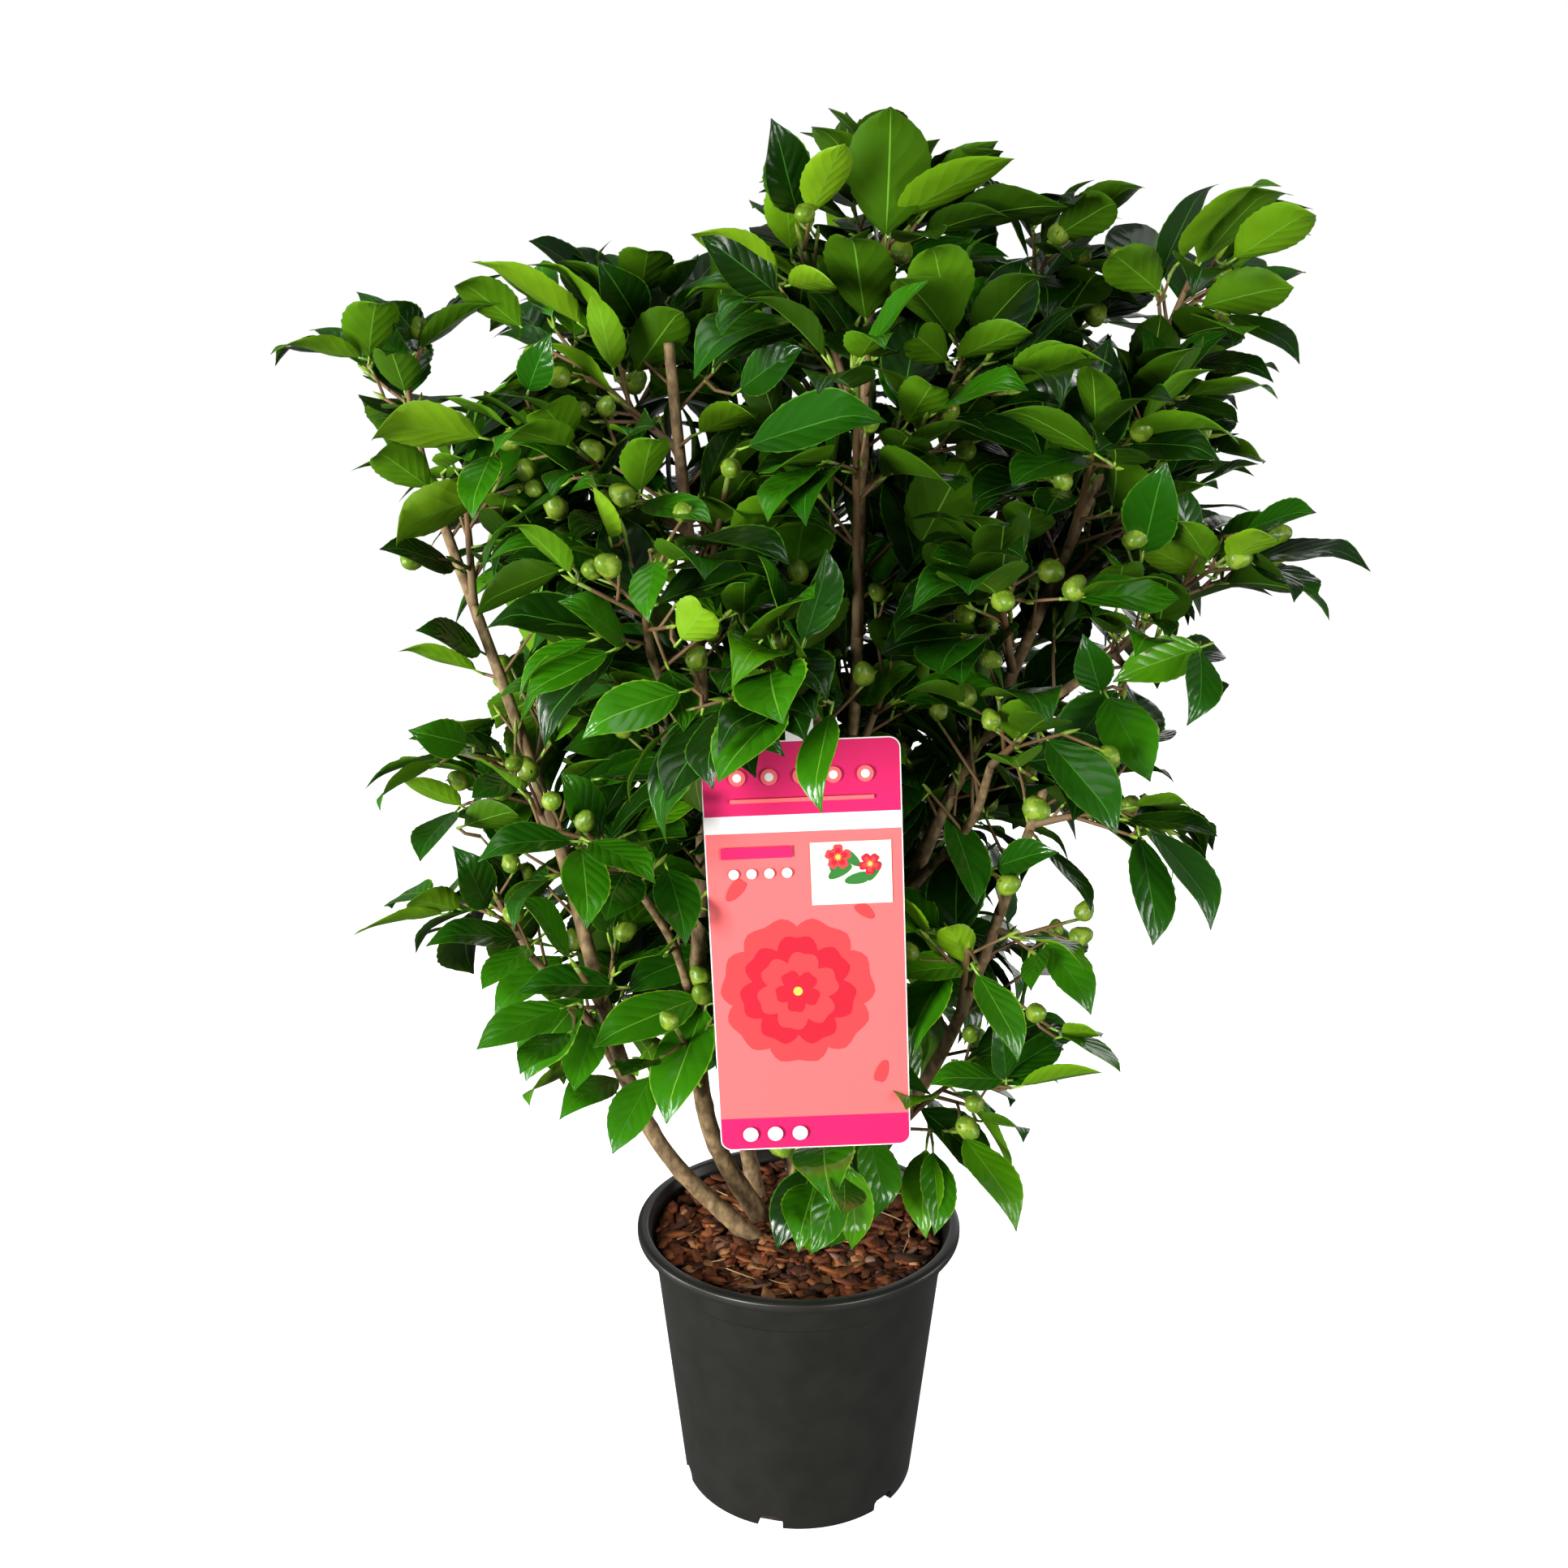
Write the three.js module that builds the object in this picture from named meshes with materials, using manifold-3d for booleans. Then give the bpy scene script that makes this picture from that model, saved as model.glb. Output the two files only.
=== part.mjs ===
// Camellia shrub in a round nursery pot. Eight stems rise from bark mulch and lean out like a vase,
// boughs fork off them, and each limb carries leafy masses: a stem with side twigs, leaves and
// flower buds. A care label hangs by its eye from a bough at the front.
// Millimetres, +Z up, the front faces -Y. The origin is the middle of the pot's flat underside.
import * as THREE from "three";
import { mergeVertices } from "three/addons/utils/BufferGeometryUtils.js";
import Module from "manifold-3d";

const wasm = await Module();
wasm.setup();

// ---------------------------------------------------------------- driving sizes
const GAP = 0.3; // between solids that touch on the real plant
const SLIVER = 0.02; // edges shorter than this are closed up
const SEED = 22;
const { clamp, degToRad, lerp } = THREE.MathUtils;
const GOLDEN_ANGLE = degToRad(137.5); // between the side twigs of a shoot
const THIRD_TURN = (2 * Math.PI) / 3; // between its leaves, which leave by the middle of a side

const POT = {
  height: 160,
  rimRadius: 95, // outer edge of the flange
  mouthRadius: 89, // inner edge of the flange
  baseRadius: 68.6,
  shoulderRadius: 84, // outside of the wall where the collar starts
  collarRadii: [85.2, 87], // outside of the collar, at its foot and at its top
  wall: 1.6,
  floor: 3,
  lip: 5.5, // height of the turned-down flange
  collar: 18, // plain band under the flange, a little proud of the wall
  bevel: 1,
  segments: 36,
};
// Drainage notches in the base corner; the first lies at this angle from +X.
const NOTCH = { count: 6, width: 15, height: 8, depth: 14, firstAngle: degToRad(256) };
const SOIL = { level: 150, edgeDrop: 3.5, edgeRadius: 83.6, flatRadius: 46 };
const LABEL = { width: 100, height: 220, corner: 6, thick: 0.8, strap: 18, y: -85, lean: degToRad(2.4) };
const EYE = { inner: 3, outer: 7 };

// Stems start at a foot on the soil, [x, y]; boughs start at a share of another limb's length.
const LIMBS = [
  {
    name: "stem_left_low", foot: [-26, -10],
    bends: [[-84, -16, 222], [-137, -12, 408]],
    tip: [-197, 0, 588], radii: [5.5, 2.6],
  },
  {
    name: "stem_left", foot: [-21, 13],
    bends: [[-54, 4, 222], [-52, -18, 458]],
    tip: [-67, -20, 659], radii: [6, 2.8],
  },
  {
    name: "stem_centre", foot: [-8, -4],
    bends: [[22, -10, 330]],
    tip: [34, -20, 668], radii: [5.2, 2.6],
  },
  {
    name: "stem_right", foot: [2, 14],
    bends: [[68, 14, 372], [121, 10, 493]],
    tip: [176, 8, 632], radii: [6, 2.6],
  },
  {
    name: "stem_right_low", foot: [13, -3],
    bends: [[82, -10, 270]],
    tip: [134, -20, 430], radii: [5, 2.6],
  },
  {
    name: "stem_back_right", foot: [20, 28],
    bends: [[66, 62, 330]],
    tip: [128, 66, 624], radii: [5, 2.5],
  },
  {
    name: "stem_back_left", foot: [-24, 34],
    bends: [[-60, 68, 320]],
    tip: [-104, 66, 606], radii: [5, 2.5],
  },
  {
    name: "stem_back", foot: [-2, 38],
    bends: [[0, 98, 330]],
    tip: [10, 112, 604], radii: [5, 2.5],
  },
  {
    name: "bough_front", on: ["stem_centre", 0.52],
    bends: [[6, -58, 476]],
    tip: [-6, -102, 489], radii: [2.6, 2],
  },
  {
    name: "bough_left_mid", on: ["stem_left", 0.3],
    bends: [[-70, -36, 345]],
    tip: [-88, -60, 386], radii: [3, 2.2],
  },
  {
    name: "bough_left_out", on: ["stem_left_low", 0.24],
    bends: [[-120, -12, 290]],
    tip: [-152, -6, 326], radii: [3.2, 2.2],
  },
  {
    name: "bough_left_front", on: ["stem_left", 0.62],
    bends: [[-62, -56, 470]],
    tip: [-74, -82, 508], radii: [3, 2.2],
  },
  {
    name: "bough_right_front", on: ["stem_right", 0.44],
    bends: [[92, -30, 410]],
    tip: [98, -60, 448], radii: [3, 2.2],
  },
  {
    name: "bough_right_mid", on: ["stem_right", 0.62],
    bends: [[150, -6, 482]],
    tip: [186, -26, 520], radii: [3.2, 2.2],
  },
];

// Each mass grows from a share of a limb's length to the point its main shoot reaches.
const MASSES = [
  { name: "mass_top_centre", on: ["stem_centre", 1], reach: [44, -4, 722] },
  { name: "mass_top_centre_left", on: ["stem_centre", 0.9], reach: [-2, -34, 712] },
  { name: "mass_top_right_inner", on: ["stem_back_right", 1], reach: [126, 40, 708] },
  { name: "mass_top_right", on: ["stem_right", 1], reach: [202, -4, 698] },
  { name: "mass_top_left", on: ["stem_left", 0.9], reach: [-118, -12, 656] },
  { name: "mass_top_left_inner", on: ["stem_back_left", 1], reach: [-68, 50, 664] },
  { name: "mass_top_back", on: ["stem_back", 1], reach: [16, 110, 676] },
  { name: "mass_far_left", on: ["stem_left_low", 1], reach: [-206, -4, 644] },
  { name: "mass_left_high_out", on: ["stem_left_low", 0.86], reach: [-170, -40, 592] },
  { name: "mass_left_high", on: ["stem_left", 0.82], reach: [-112, -68, 610] },
  { name: "mass_centre_left_high", on: ["stem_left", 0.72], reach: [-34, -98, 600] },
  { name: "mass_front_high", on: ["stem_centre", 0.7], reach: [24, -108, 648] },
  { name: "mass_right_high_front", on: ["stem_centre", 0.84], reach: [84, -72, 646] },
  { name: "mass_right_high_out", on: ["stem_right", 0.93], reach: [190, -36, 630] },
  { name: "mass_right_high_inner", on: ["stem_right", 0.84], reach: [140, -84, 614] },
  { name: "mass_right_upper", on: ["stem_right", 0.78], reach: [194, 34, 586] },
  { name: "mass_back_left", on: ["stem_back_left", 0.74], reach: [-164, 92, 588] },
  { name: "mass_back_right", on: ["stem_back_right", 0.72], reach: [176, 96, 590] },
  { name: "mass_back", on: ["stem_back", 0.72], reach: [2, 180, 556] },
  { name: "mass_left_front", on: ["bough_left_front", 1], reach: [-74, -128, 546] },
  { name: "mass_centre_right", on: ["stem_centre", 0.56], reach: [66, -46, 548] },
  { name: "mass_centre_left", on: ["stem_left", 0.5], reach: [-10, -34, 530] },
  { name: "mass_left_mid_back", on: ["stem_left_low", 0.66], reach: [-138, 52, 500] },
  { name: "mass_front", on: ["bough_front", 1], reach: [-14, -130, 498] },
  { name: "mass_right_front_high", on: ["stem_right", 0.7], reach: [92, -104, 552] },
  { name: "mass_right_mid", on: ["bough_right_mid", 1], reach: [206, -40, 550] },
  { name: "mass_right_mid_low", on: ["bough_right_mid", 0.75], reach: [172, -52, 492] },
  { name: "mass_right_front", on: ["bough_right_front", 1], reach: [108, -96, 470] },
  { name: "mass_left_mid_out", on: ["stem_left_low", 0.58], reach: [-164, -18, 446] },
  { name: "mass_left_mid_front", on: ["bough_left_mid", 0.96], reach: [-110, -88, 422] },
  { name: "mass_back_mid_left", on: ["stem_back_left", 0.48], reach: [-112, 134, 450] },
  { name: "mass_back_mid_right", on: ["stem_back_right", 0.48], reach: [112, 130, 450] },
  { name: "mass_left_low_out", on: ["bough_left_out", 1], reach: [-176, -10, 372] },
  { name: "mass_left_low", on: ["stem_left_low", 0.34], reach: [-122, -44, 334] },
  { name: "mass_left_foot", on: ["stem_left", 0.2], reach: [-66, -74, 310] },
  { name: "mass_right_low_out", on: ["stem_right_low", 0.92], reach: [176, -24, 416] },
  { name: "mass_right_low", on: ["stem_right_low", 0.72], reach: [126, -26, 340] },
  { name: "mass_right_front_low", on: ["stem_right_low", 0.55], reach: [88, -76, 362] },
  { name: "mass_right_foot", on: ["stem_right_low", 0.26], reach: [94, -46, 272] },
  { name: "mass_front_foot", on: ["stem_centre", 0.2], reach: [26, -74, 236] },
  { name: "mass_back_low_left", on: ["stem_back_left", 0.24], reach: [-78, 104, 320] },
  { name: "mass_back_low_right", on: ["stem_back_right", 0.24], reach: [84, 100, 322] },
];

// How limbs are shaped.
const STEM = {
  sides: 7,
  underSoil: 14, // length that is cut off level with the soil
  flare: 0.4, // how much wider the foot is
  flareLength: 22,
};
const BOUGH = { sides: 6 };
const LIMB = { step: 60, leastSteps: 3, taper: 0.8 };

// How a mass grows.
const SHOOT = {
  sideShares: [0.3, 0.43, 0.62, 0.8], // where the side twigs leave the main shoot
  sideAngle: degToRad(52),
  sideLength: 46,
  sideScale: [1.1, 0.75], // of that length, for a twig at the shoot's foot and at its tip
  sideJitter: [0.85, 1.15],
  lift: 0.22, // how far a side twig turns up
  spread: 0.3, // how far it turns away from the shrub's axis
  arch: 0.12, // bow of the main shoot, as a share of its length
  radii: [2.9, 1.6],
  sideRadii: [1.1, 1],
  siteShare: 0.72, // the point of the main shoot that its mass's space is laid round
  leafyShare: 0.6, // how far from its tip the main shoot has leaves
  bareFoot: 8, // length of a side twig without leaves, from its foot
  tipSpare: 3, // room kept past a side twig's tip
};
const LEAF = {
  length: 68,
  width: 0.56, // of the length
  widest: 0.46, // share of the length at which it is widest
  thick: 1.2,
  fromTip: [3, 8, 14, 22, 32, 42], // distance of each leaf's node from the shoot's tip
  angle: [34, 44, 54, 62, 68, 72], // between leaf and shoot, degrees
  angleJitter: 16, // degrees, all told
  turnJitter: 0.3,
  sizeJitter: [0.85, 1.08],
  hang: [0.42, 0.04], // how far leaves hang, low and high in the crown
  faceAlong: 0.7, // how far a leaf faces along its shoot
  faceUp: 0.75, // and how far it faces up
  most: 11, // solid leaves in one mass
  fold: 0.22, // rise of the margin over the midrib, as a share of the half width
  droop: 0.2, // fall of the tip, as a share of the length
  tries: 6,
  wideTries: 3, // tries at the leaf's full angle
  touch: 0.15, // cubic millimetres of a leaf's root that may lie inside the twigs and other leaves
  closer: 0.6, // share of its angle that a leaf keeps after those
};
const BUD = { radius: 7.4, share: 0.18, seat: 0.4 }; // flower buds, and the share of shoots that end in one
const CROWN = { low: 230, high: 700 }; // heights between which leaves go from hanging to raised
const SAMPLE_CLEARANCE = 5.5; // no point of a leaf lies further than this from one of its samples
const SPHERE_STEP = 5; // between the spheres that stand for a limb
const MASS_SEEDS = 101; // between the seeds of two masses
const TWIG_SEEDS = 7001; // between the seeds of two side twigs of a mass

// ---------------------------------------------------------------- materials
const material = (color, roughness) => new THREE.MeshStandardMaterial({ color, roughness, metalness: 0 });
const MATERIALS = {
  pot: material(0x1b1b1a, 0.55),
  soil: material(0x4a2a1a, 0.95),
  bark: material(0x8a6b4b, 0.85),
  leaf: material(0x2c6a1e, 0.35),
  label: material(0xe0315f, 0.4),
};

// ---------------------------------------------------------------- small tools
const v3 = (x, y, z) => new THREE.Vector3(x, y, z);
const UP = v3(0, 0, 1);

// A seeded random number between 0 and 1: mulberry32.
function randomFrom(seed) {
  let state = seed >>> 0;
  return () => {
    state = (state + 0x6d2b79f5) >>> 0;
    let t = Math.imul(state ^ (state >>> 15), 1 | state);
    t = (t + Math.imul(t ^ (t >>> 7), 61 | t)) ^ t;
    return ((t ^ (t >>> 14)) >>> 0) / 4294967296;
  };
}

// A closed three.js geometry as a solid.
function solidOf(geometry) {
  const bare = geometry.clone();
  bare.deleteAttribute("normal");
  bare.deleteAttribute("uv");
  const merged = mergeVertices(bare, 1e-3);
  const index = merged.index.array;
  const kept = [];
  for (let i = 0; i < index.length; i += 3) {
    const [a, b, c] = [index[i], index[i + 1], index[i + 2]];
    if (a !== b && b !== c && c !== a) kept.push(a, b, c);
  }
  return new wasm.Manifold(
    new wasm.Mesh({
      numProp: 3,
      vertProperties: new Float32Array(merged.attributes.position.array),
      triVerts: new Uint32Array(kept),
    }),
  );
}

// The largest body of a solid, rid of the slivers that cuts leave, as a named mesh.
function meshOf(name, solid, meshMaterial) {
  const body = solid.decompose().sort((a, b) => b.volume() - a.volume())[0].simplify(SLIVER);
  const { numProp, numVert, vertProperties, triVerts } = body.getMesh();
  const positions = new Float32Array(numVert * 3);
  for (let i = 0; i < numVert; i++) {
    const first = i * numProp;
    positions.set(vertProperties.subarray(first, first + 3), i * 3);
  }
  const geometry = new THREE.BufferGeometry()
    .setAttribute("position", new THREE.BufferAttribute(positions, 3))
    .setIndex(new THREE.BufferAttribute(new Uint32Array(triVerts), 1));
  geometry.computeVertexNormals();
  const mesh = new THREE.Mesh(geometry, meshMaterial);
  mesh.name = name;
  return mesh;
}

// A closed cylinder bent along a curve, with a radius for each share of its length.
function bentCylinder(curve, radiusAt, sides, steps) {
  const geometry = new THREE.CylinderGeometry(1, 1, 1, sides, steps);
  const frames = curve.computeFrenetFrames(steps, false);
  const position = geometry.attributes.position;
  for (let i = 0; i < position.count; i++) {
    const share = position.getY(i) + 0.5;
    const ring = Math.round(share * steps);
    const radius = radiusAt(share);
    const point = curve
      .getPointAt(share)
      .addScaledVector(frames.normals[ring], position.getX(i) * radius)
      .addScaledVector(frames.binormals[ring], -position.getZ(i) * radius);
    position.setXYZ(i, point.x, point.y, point.z);
  }
  return geometry;
}

// A twig with three sides through a few points, tapering along them.
function twigGeometry(points, startRadius, endRadius) {
  const last = points.length - 1;
  const [first, second] = sideways(points[last].clone().sub(points[last - 1]).normalize());
  const corners = points.flatMap((point, ring) =>
    [0, 1, 2].map((i) => {
      const angle = i * THIRD_TURN;
      const radius = lerp(startRadius, endRadius, ring / last);
      return point
        .clone()
        .addScaledVector(first, radius * Math.cos(angle))
        .addScaledVector(second, radius * Math.sin(angle));
    }),
  );
  const sides = [];
  for (let ring = 0; ring < last; ring++)
    for (const [a, b] of [[0, 1], [1, 2], [2, 0]]) {
      const [near, next] = [3 * ring + a, 3 * ring + b];
      sides.push(next, near, near + 3, next, near + 3, next + 3);
    }
  const end = 3 * last;
  const caps = [0, 1, 2, end + 2, end + 1, end];
  return new THREE.BufferGeometry().setFromPoints(corners).setIndex([...sides, ...caps]);
}

// ---------------------------------------------------------------- pot, mulch and label
function potSolid() {
  const { height, rimRadius, mouthRadius, baseRadius, shoulderRadius, collarRadii } = POT;
  const { wall, floor, lip, collar, bevel, segments } = POT;
  const shoulder = height - lip - collar;
  const profile = [
    [0, 0],
    [baseRadius, 0],
    [shoulderRadius, shoulder],
    [collarRadii[0], shoulder + bevel],
    [collarRadii[1], height - lip],
    [rimRadius, height - lip],
    [rimRadius, height - bevel],
    [rimRadius - bevel, height],
    [mouthRadius, height],
    [shoulderRadius - wall, shoulder],
    [baseRadius - wall, floor],
    [0, floor],
  ].map(([x, y]) => new THREE.Vector2(x, y));
  const pot = solidOf(new THREE.LatheGeometry(profile, segments).rotateX(Math.PI / 2));
  const notches = Array.from({ length: NOTCH.count }, (_, i) =>
    solidOf(
      new THREE.BoxGeometry(NOTCH.depth, NOTCH.width, 2 * NOTCH.height)
        .translate(baseRadius, 0, 0)
        .rotateZ(NOTCH.firstAngle + ((2 * Math.PI) / NOTCH.count) * i),
    ),
  );
  return wasm.Manifold.difference([pot, ...notches]);
}

function soilSolid() {
  const { baseRadius, shoulderRadius, wall, floor, height, lip, collar, segments } = POT;
  const shoulder = height - lip - collar;
  const profile = [
    [0, floor + GAP],
    [baseRadius - wall - GAP, floor + GAP],
    [shoulderRadius - wall - 2 * GAP, shoulder],
    [SOIL.edgeRadius, SOIL.level - SOIL.edgeDrop],
    [SOIL.flatRadius, SOIL.level],
    [0, SOIL.level],
  ].map(([x, y]) => new THREE.Vector2(x, y));
  return solidOf(new THREE.LatheGeometry(profile, segments).rotateX(Math.PI / 2));
}

// The card, its strap and its eye in one outline; the eye's middle is the outline's origin.
function labelGeometry() {
  const { width, height, corner, thick, strap } = LABEL;
  const half = width / 2;
  const top = -strap;
  const bottom = top - height;
  const outline = new THREE.Shape()
    .moveTo(EYE.outer, 0)
    .absarc(0, 0, EYE.outer, 0, Math.PI, false)
    .lineTo(-EYE.outer, top)
    .lineTo(corner - half, top)
    .absarc(corner - half, top - corner, corner, Math.PI / 2, Math.PI, false)
    .absarc(corner - half, bottom + corner, corner, Math.PI, 1.5 * Math.PI, false)
    .absarc(half - corner, bottom + corner, corner, 1.5 * Math.PI, 2 * Math.PI, false)
    .absarc(half - corner, top - corner, corner, 0, Math.PI / 2, false)
    .lineTo(EYE.outer, top);
  outline.holes.push(new THREE.Path().absarc(0, 0, EYE.inner, 0, 2 * Math.PI, true));
  return new THREE.ExtrudeGeometry(outline, { depth: thick, bevelEnabled: false, curveSegments: 3 })
    .translate(0, 0, -thick / 2)
    .rotateX(Math.PI / 2);
}

// ---------------------------------------------------------------- limbs
const limbs = new Map();

function limbCurve({ foot, on, bends, tip }) {
  const points = bends.concat([tip]).map((p) => v3(...p));
  if (on) points.unshift(limbs.get(on[0]).curve.getPointAt(on[1]));
  if (foot) {
    const start = v3(...foot, SOIL.level);
    const below = start.clone().add(start.clone().sub(points[0]).setLength(STEM.underSoil));
    points.unshift(below, start);
  }
  return new THREE.CatmullRomCurve3(points, false, "centripetal");
}

// Tapers from root to tip; a stem flares at its foot.
function limbRadius({ radii, foot }, share, length) {
  const flare = foot ? STEM.flare * Math.exp((-share * length) / STEM.flareLength) : 0;
  return lerp(radii[0], radii[1], share ** LIMB.taper) * (1 + flare);
}

function growLimb(row) {
  const curve = limbCurve(row);
  const length = curve.getLength();
  const { sides } = row.foot ? STEM : BOUGH;
  const steps = Math.max(LIMB.leastSteps, Math.round(length / LIMB.step));
  const radiusAt = (share) => limbRadius(row, share, length);
  let solid = solidOf(bentCylinder(curve, radiusAt, sides, steps));
  if (row.foot) solid = solid.trimByPlane([0, 0, 1], SOIL.level + GAP);
  else solid = solid.subtract(limbs.get(row.on[0]).swollen);
  const spareRadius = GAP / Math.cos(Math.PI / sides);
  const swollen = solidOf(bentCylinder(curve, (share) => radiusAt(share) + spareRadius, sides, steps));
  limbs.set(row.name, { curve, length, solid, swollen, radiusAt });
}

LIMBS.forEach(growLimb);

// ---------------------------------------------------------------- where leaves may go
// Spheres along every limb and main shoot; a leaf keeps clear of those of another owner.
const spheres = [];

function addSpheres(curve, radiusAt, owner, startShare = 0) {
  const count = Math.ceil(curve.getLength() / SPHERE_STEP);
  for (let i = 0; i <= count; i++) {
    const share = lerp(startShare, 1, i / count);
    spheres.push({ centre: curve.getPointAt(share), radius: radiusAt(share), owner });
  }
}

// The main shoot of a mass arches up high in the crown, and down near its foot.
function shootCurve({ on, reach }) {
  const limb = limbs.get(on[0]);
  const end = v3(...reach);
  const root = limb.curve.getPointAt(on[1]);
  if (on[1] === 1) root.addScaledVector(end.clone().sub(root).normalize(), GAP);
  const span = root.distanceTo(end);
  const height = clamp(((root.z - CROWN.low) / (CROWN.high - CROWN.low)) * 2 - 1, -1, 1);
  const middle = root.clone().lerp(end, 0.5).addScaledVector(UP, -height * SHOOT.arch * span);
  return new THREE.QuadraticBezierCurve3(root, middle, end);
}

const shootRadius = (share) => lerp(...SHOOT.radii, share);
const shoots = MASSES.map(shootCurve);
const sites = shoots.map((curve) => curve.getPointAt(SHOOT.siteShare));
for (const { curve, radiusAt } of limbs.values()) addSpheres(curve, radiusAt, -1);
shoots.forEach((curve, owner) => addSpheres(curve, shootRadius, owner, 0.1));

// A mass's space holds the points that lie nearer to its own site than to any other.
function inOwnSpace(points, mass) {
  const own = sites[mass];
  return sites.every((site, i) => {
    if (i === mass) return true;
    const normal = site.clone().sub(own).normalize();
    const border = site.clone().add(own).multiplyScalar(0.5).dot(normal) - GAP;
    return points.every((p) => p.dot(normal) < border);
  });
}

function clearOfLimbs(points, mass, clearance) {
  return spheres.every(({ centre, radius, owner }) => {
    if (owner === mass) return true;
    const least = (radius + clearance) ** 2;
    return points.every((p) => p.distanceToSquared(centre) > least);
  });
}

function clearOfLabelAndPot(points, clearance) {
  const { y, width, height, strap } = LABEL;
  const middleZ = eye.z - strap - height / 2;
  return points.every(
    (p) =>
      p.z > POT.height + clearance &&
      (Math.abs(p.y - y) > clearance ||
        Math.abs(p.x - eye.x) > width / 2 + 2 * clearance ||
        Math.abs(p.z - middleZ) > height / 2 + strap + clearance),
  );
}

// The label's eye hangs on the front bough where that bough crosses the label's plane.
function eyeOnBough() {
  const { curve, radiusAt } = limbs.get("bough_front");
  let share = 0;
  while (curve.getPointAt(share).y > LABEL.y) share += 0.001;
  const point = curve.getPointAt(share);
  return point.addScaledVector(UP, radiusAt(share) + GAP - EYE.inner);
}
const eye = eyeOnBough();

// ---------------------------------------------------------------- leaves, twigs and masses
// Two directions square to the given one.
function sideways(along) {
  const first = v3(0, 0, 1).cross(along);
  if (first.length() < 0.1) first.set(1, 0, 0).cross(along);
  first.normalize();
  return [first, first.clone().cross(along).normalize()];
}

function turned(along, azimuth, angle) {
  const [first, second] = sideways(along);
  const out = first.multiplyScalar(Math.cos(azimuth)).addScaledVector(second, Math.sin(azimuth));
  return along.clone().multiplyScalar(Math.cos(angle)).addScaledVector(out, Math.sin(angle));
}

// Where a leaf's surface is, for a share of its length and of its half width.
function leafPoint({ start, along, face, length }, share, side, halfWidth) {
  const across = face.clone().cross(along);
  return start
    .clone()
    .addScaledVector(along, share * length)
    .addScaledVector(across, side * halfWidth)
    .addScaledVector(face, LEAF.fold * halfWidth * Math.abs(side) - LEAF.droop * length * share * share);
}

// Points spread over a blade, past its root.
function leafSamples(leaf) {
  const { length } = leaf;
  const samples = [];
  for (let share = 0.15; share < 1; share += 0.12) {
    const taper = share < LEAF.widest ? share / LEAF.widest : (1 - share) / (1 - LEAF.widest);
    for (const side of [-1, -0.5, 0, 0.5, 1])
      samples.push(leafPoint(leaf, share, side, 0.5 * LEAF.width * length * taper));
  }
  return samples;
}

// A folded blade of eight faces: four points round its rim, one above and one below the midrib.
function leafGeometry(leaf) {
  const half = 0.5 * LEAF.width * leaf.length;
  const middle = leafPoint(leaf, LEAF.widest, 0, 0);
  const points = [
    leafPoint(leaf, 0, 0, 0),
    leafPoint(leaf, LEAF.widest, 1, half),
    leafPoint(leaf, 1, 0, 0),
    leafPoint(leaf, LEAF.widest, -1, half),
    middle.clone().addScaledVector(leaf.face, LEAF.thick / 2),
    middle.clone().addScaledVector(leaf.face, -LEAF.thick / 2),
  ];
  const rim = [0, 1, 2, 3];
  const [above, below] = [4, 5];
  const faces = rim.flatMap((a, i) => {
    const b = rim[(i + 1) % rim.length];
    return [b, a, above, a, b, below];
  });
  return new THREE.BufferGeometry().setFromPoints(points).setIndex(faces);
}

// The leaves of one straight end of a shoot, from its tip backwards.
function leavesOn({ tip, along, leafy }, random) {
  const height = clamp((tip.z - CROWN.low) / (CROWN.high - CROWN.low), 0, 1);
  const hang = lerp(...LEAF.hang, height);
  const firstFace = Math.floor(random() * 3);
  const leaves = [];
  LEAF.fromTip.forEach((distance, k) => {
    const [turnJitter, angleJitter, sizeJitter] = [random(), random(), random()];
    if (distance > leafy) return;
    const azimuth = (firstFace + k) * THIRD_TURN + THIRD_TURN / 2 + (turnJitter - 0.5) * LEAF.turnJitter;
    const angle = degToRad(LEAF.angle[k] + (angleJitter - 0.5) * LEAF.angleJitter);
    const start = tip.clone().addScaledVector(along, -distance);
    const length = LEAF.length * lerp(...LEAF.sizeJitter, sizeJitter);
    leaves.push({ k, start, shoot: along, azimuth, angle, hang, length });
  });
  return leaves;
}

// Turns a leaf round its shoot until it fits; null where no try does.
function placed(leaf, fits) {
  for (let attempt = 0; attempt < LEAF.tries; attempt++) {
    const angle = leaf.angle * (attempt < LEAF.wideTries ? 1 : LEAF.closer);
    const along = turned(leaf.shoot, leaf.azimuth + attempt * THIRD_TURN, angle)
      .addScaledVector(UP, -leaf.hang)
      .normalize();
    const face = leaf.shoot.clone().multiplyScalar(LEAF.faceAlong).addScaledVector(UP, LEAF.faceUp);
    face.addScaledVector(along, -face.dot(along)).normalize();
    const candidate = { ...leaf, along, face };
    if (fits(candidate)) return candidate;
  }
  return null;
}

const cornersOf = ({ attributes: { position } }) =>
  Array.from({ length: position.count }, (_, i) => v3().fromBufferAttribute(position, i));

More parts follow.
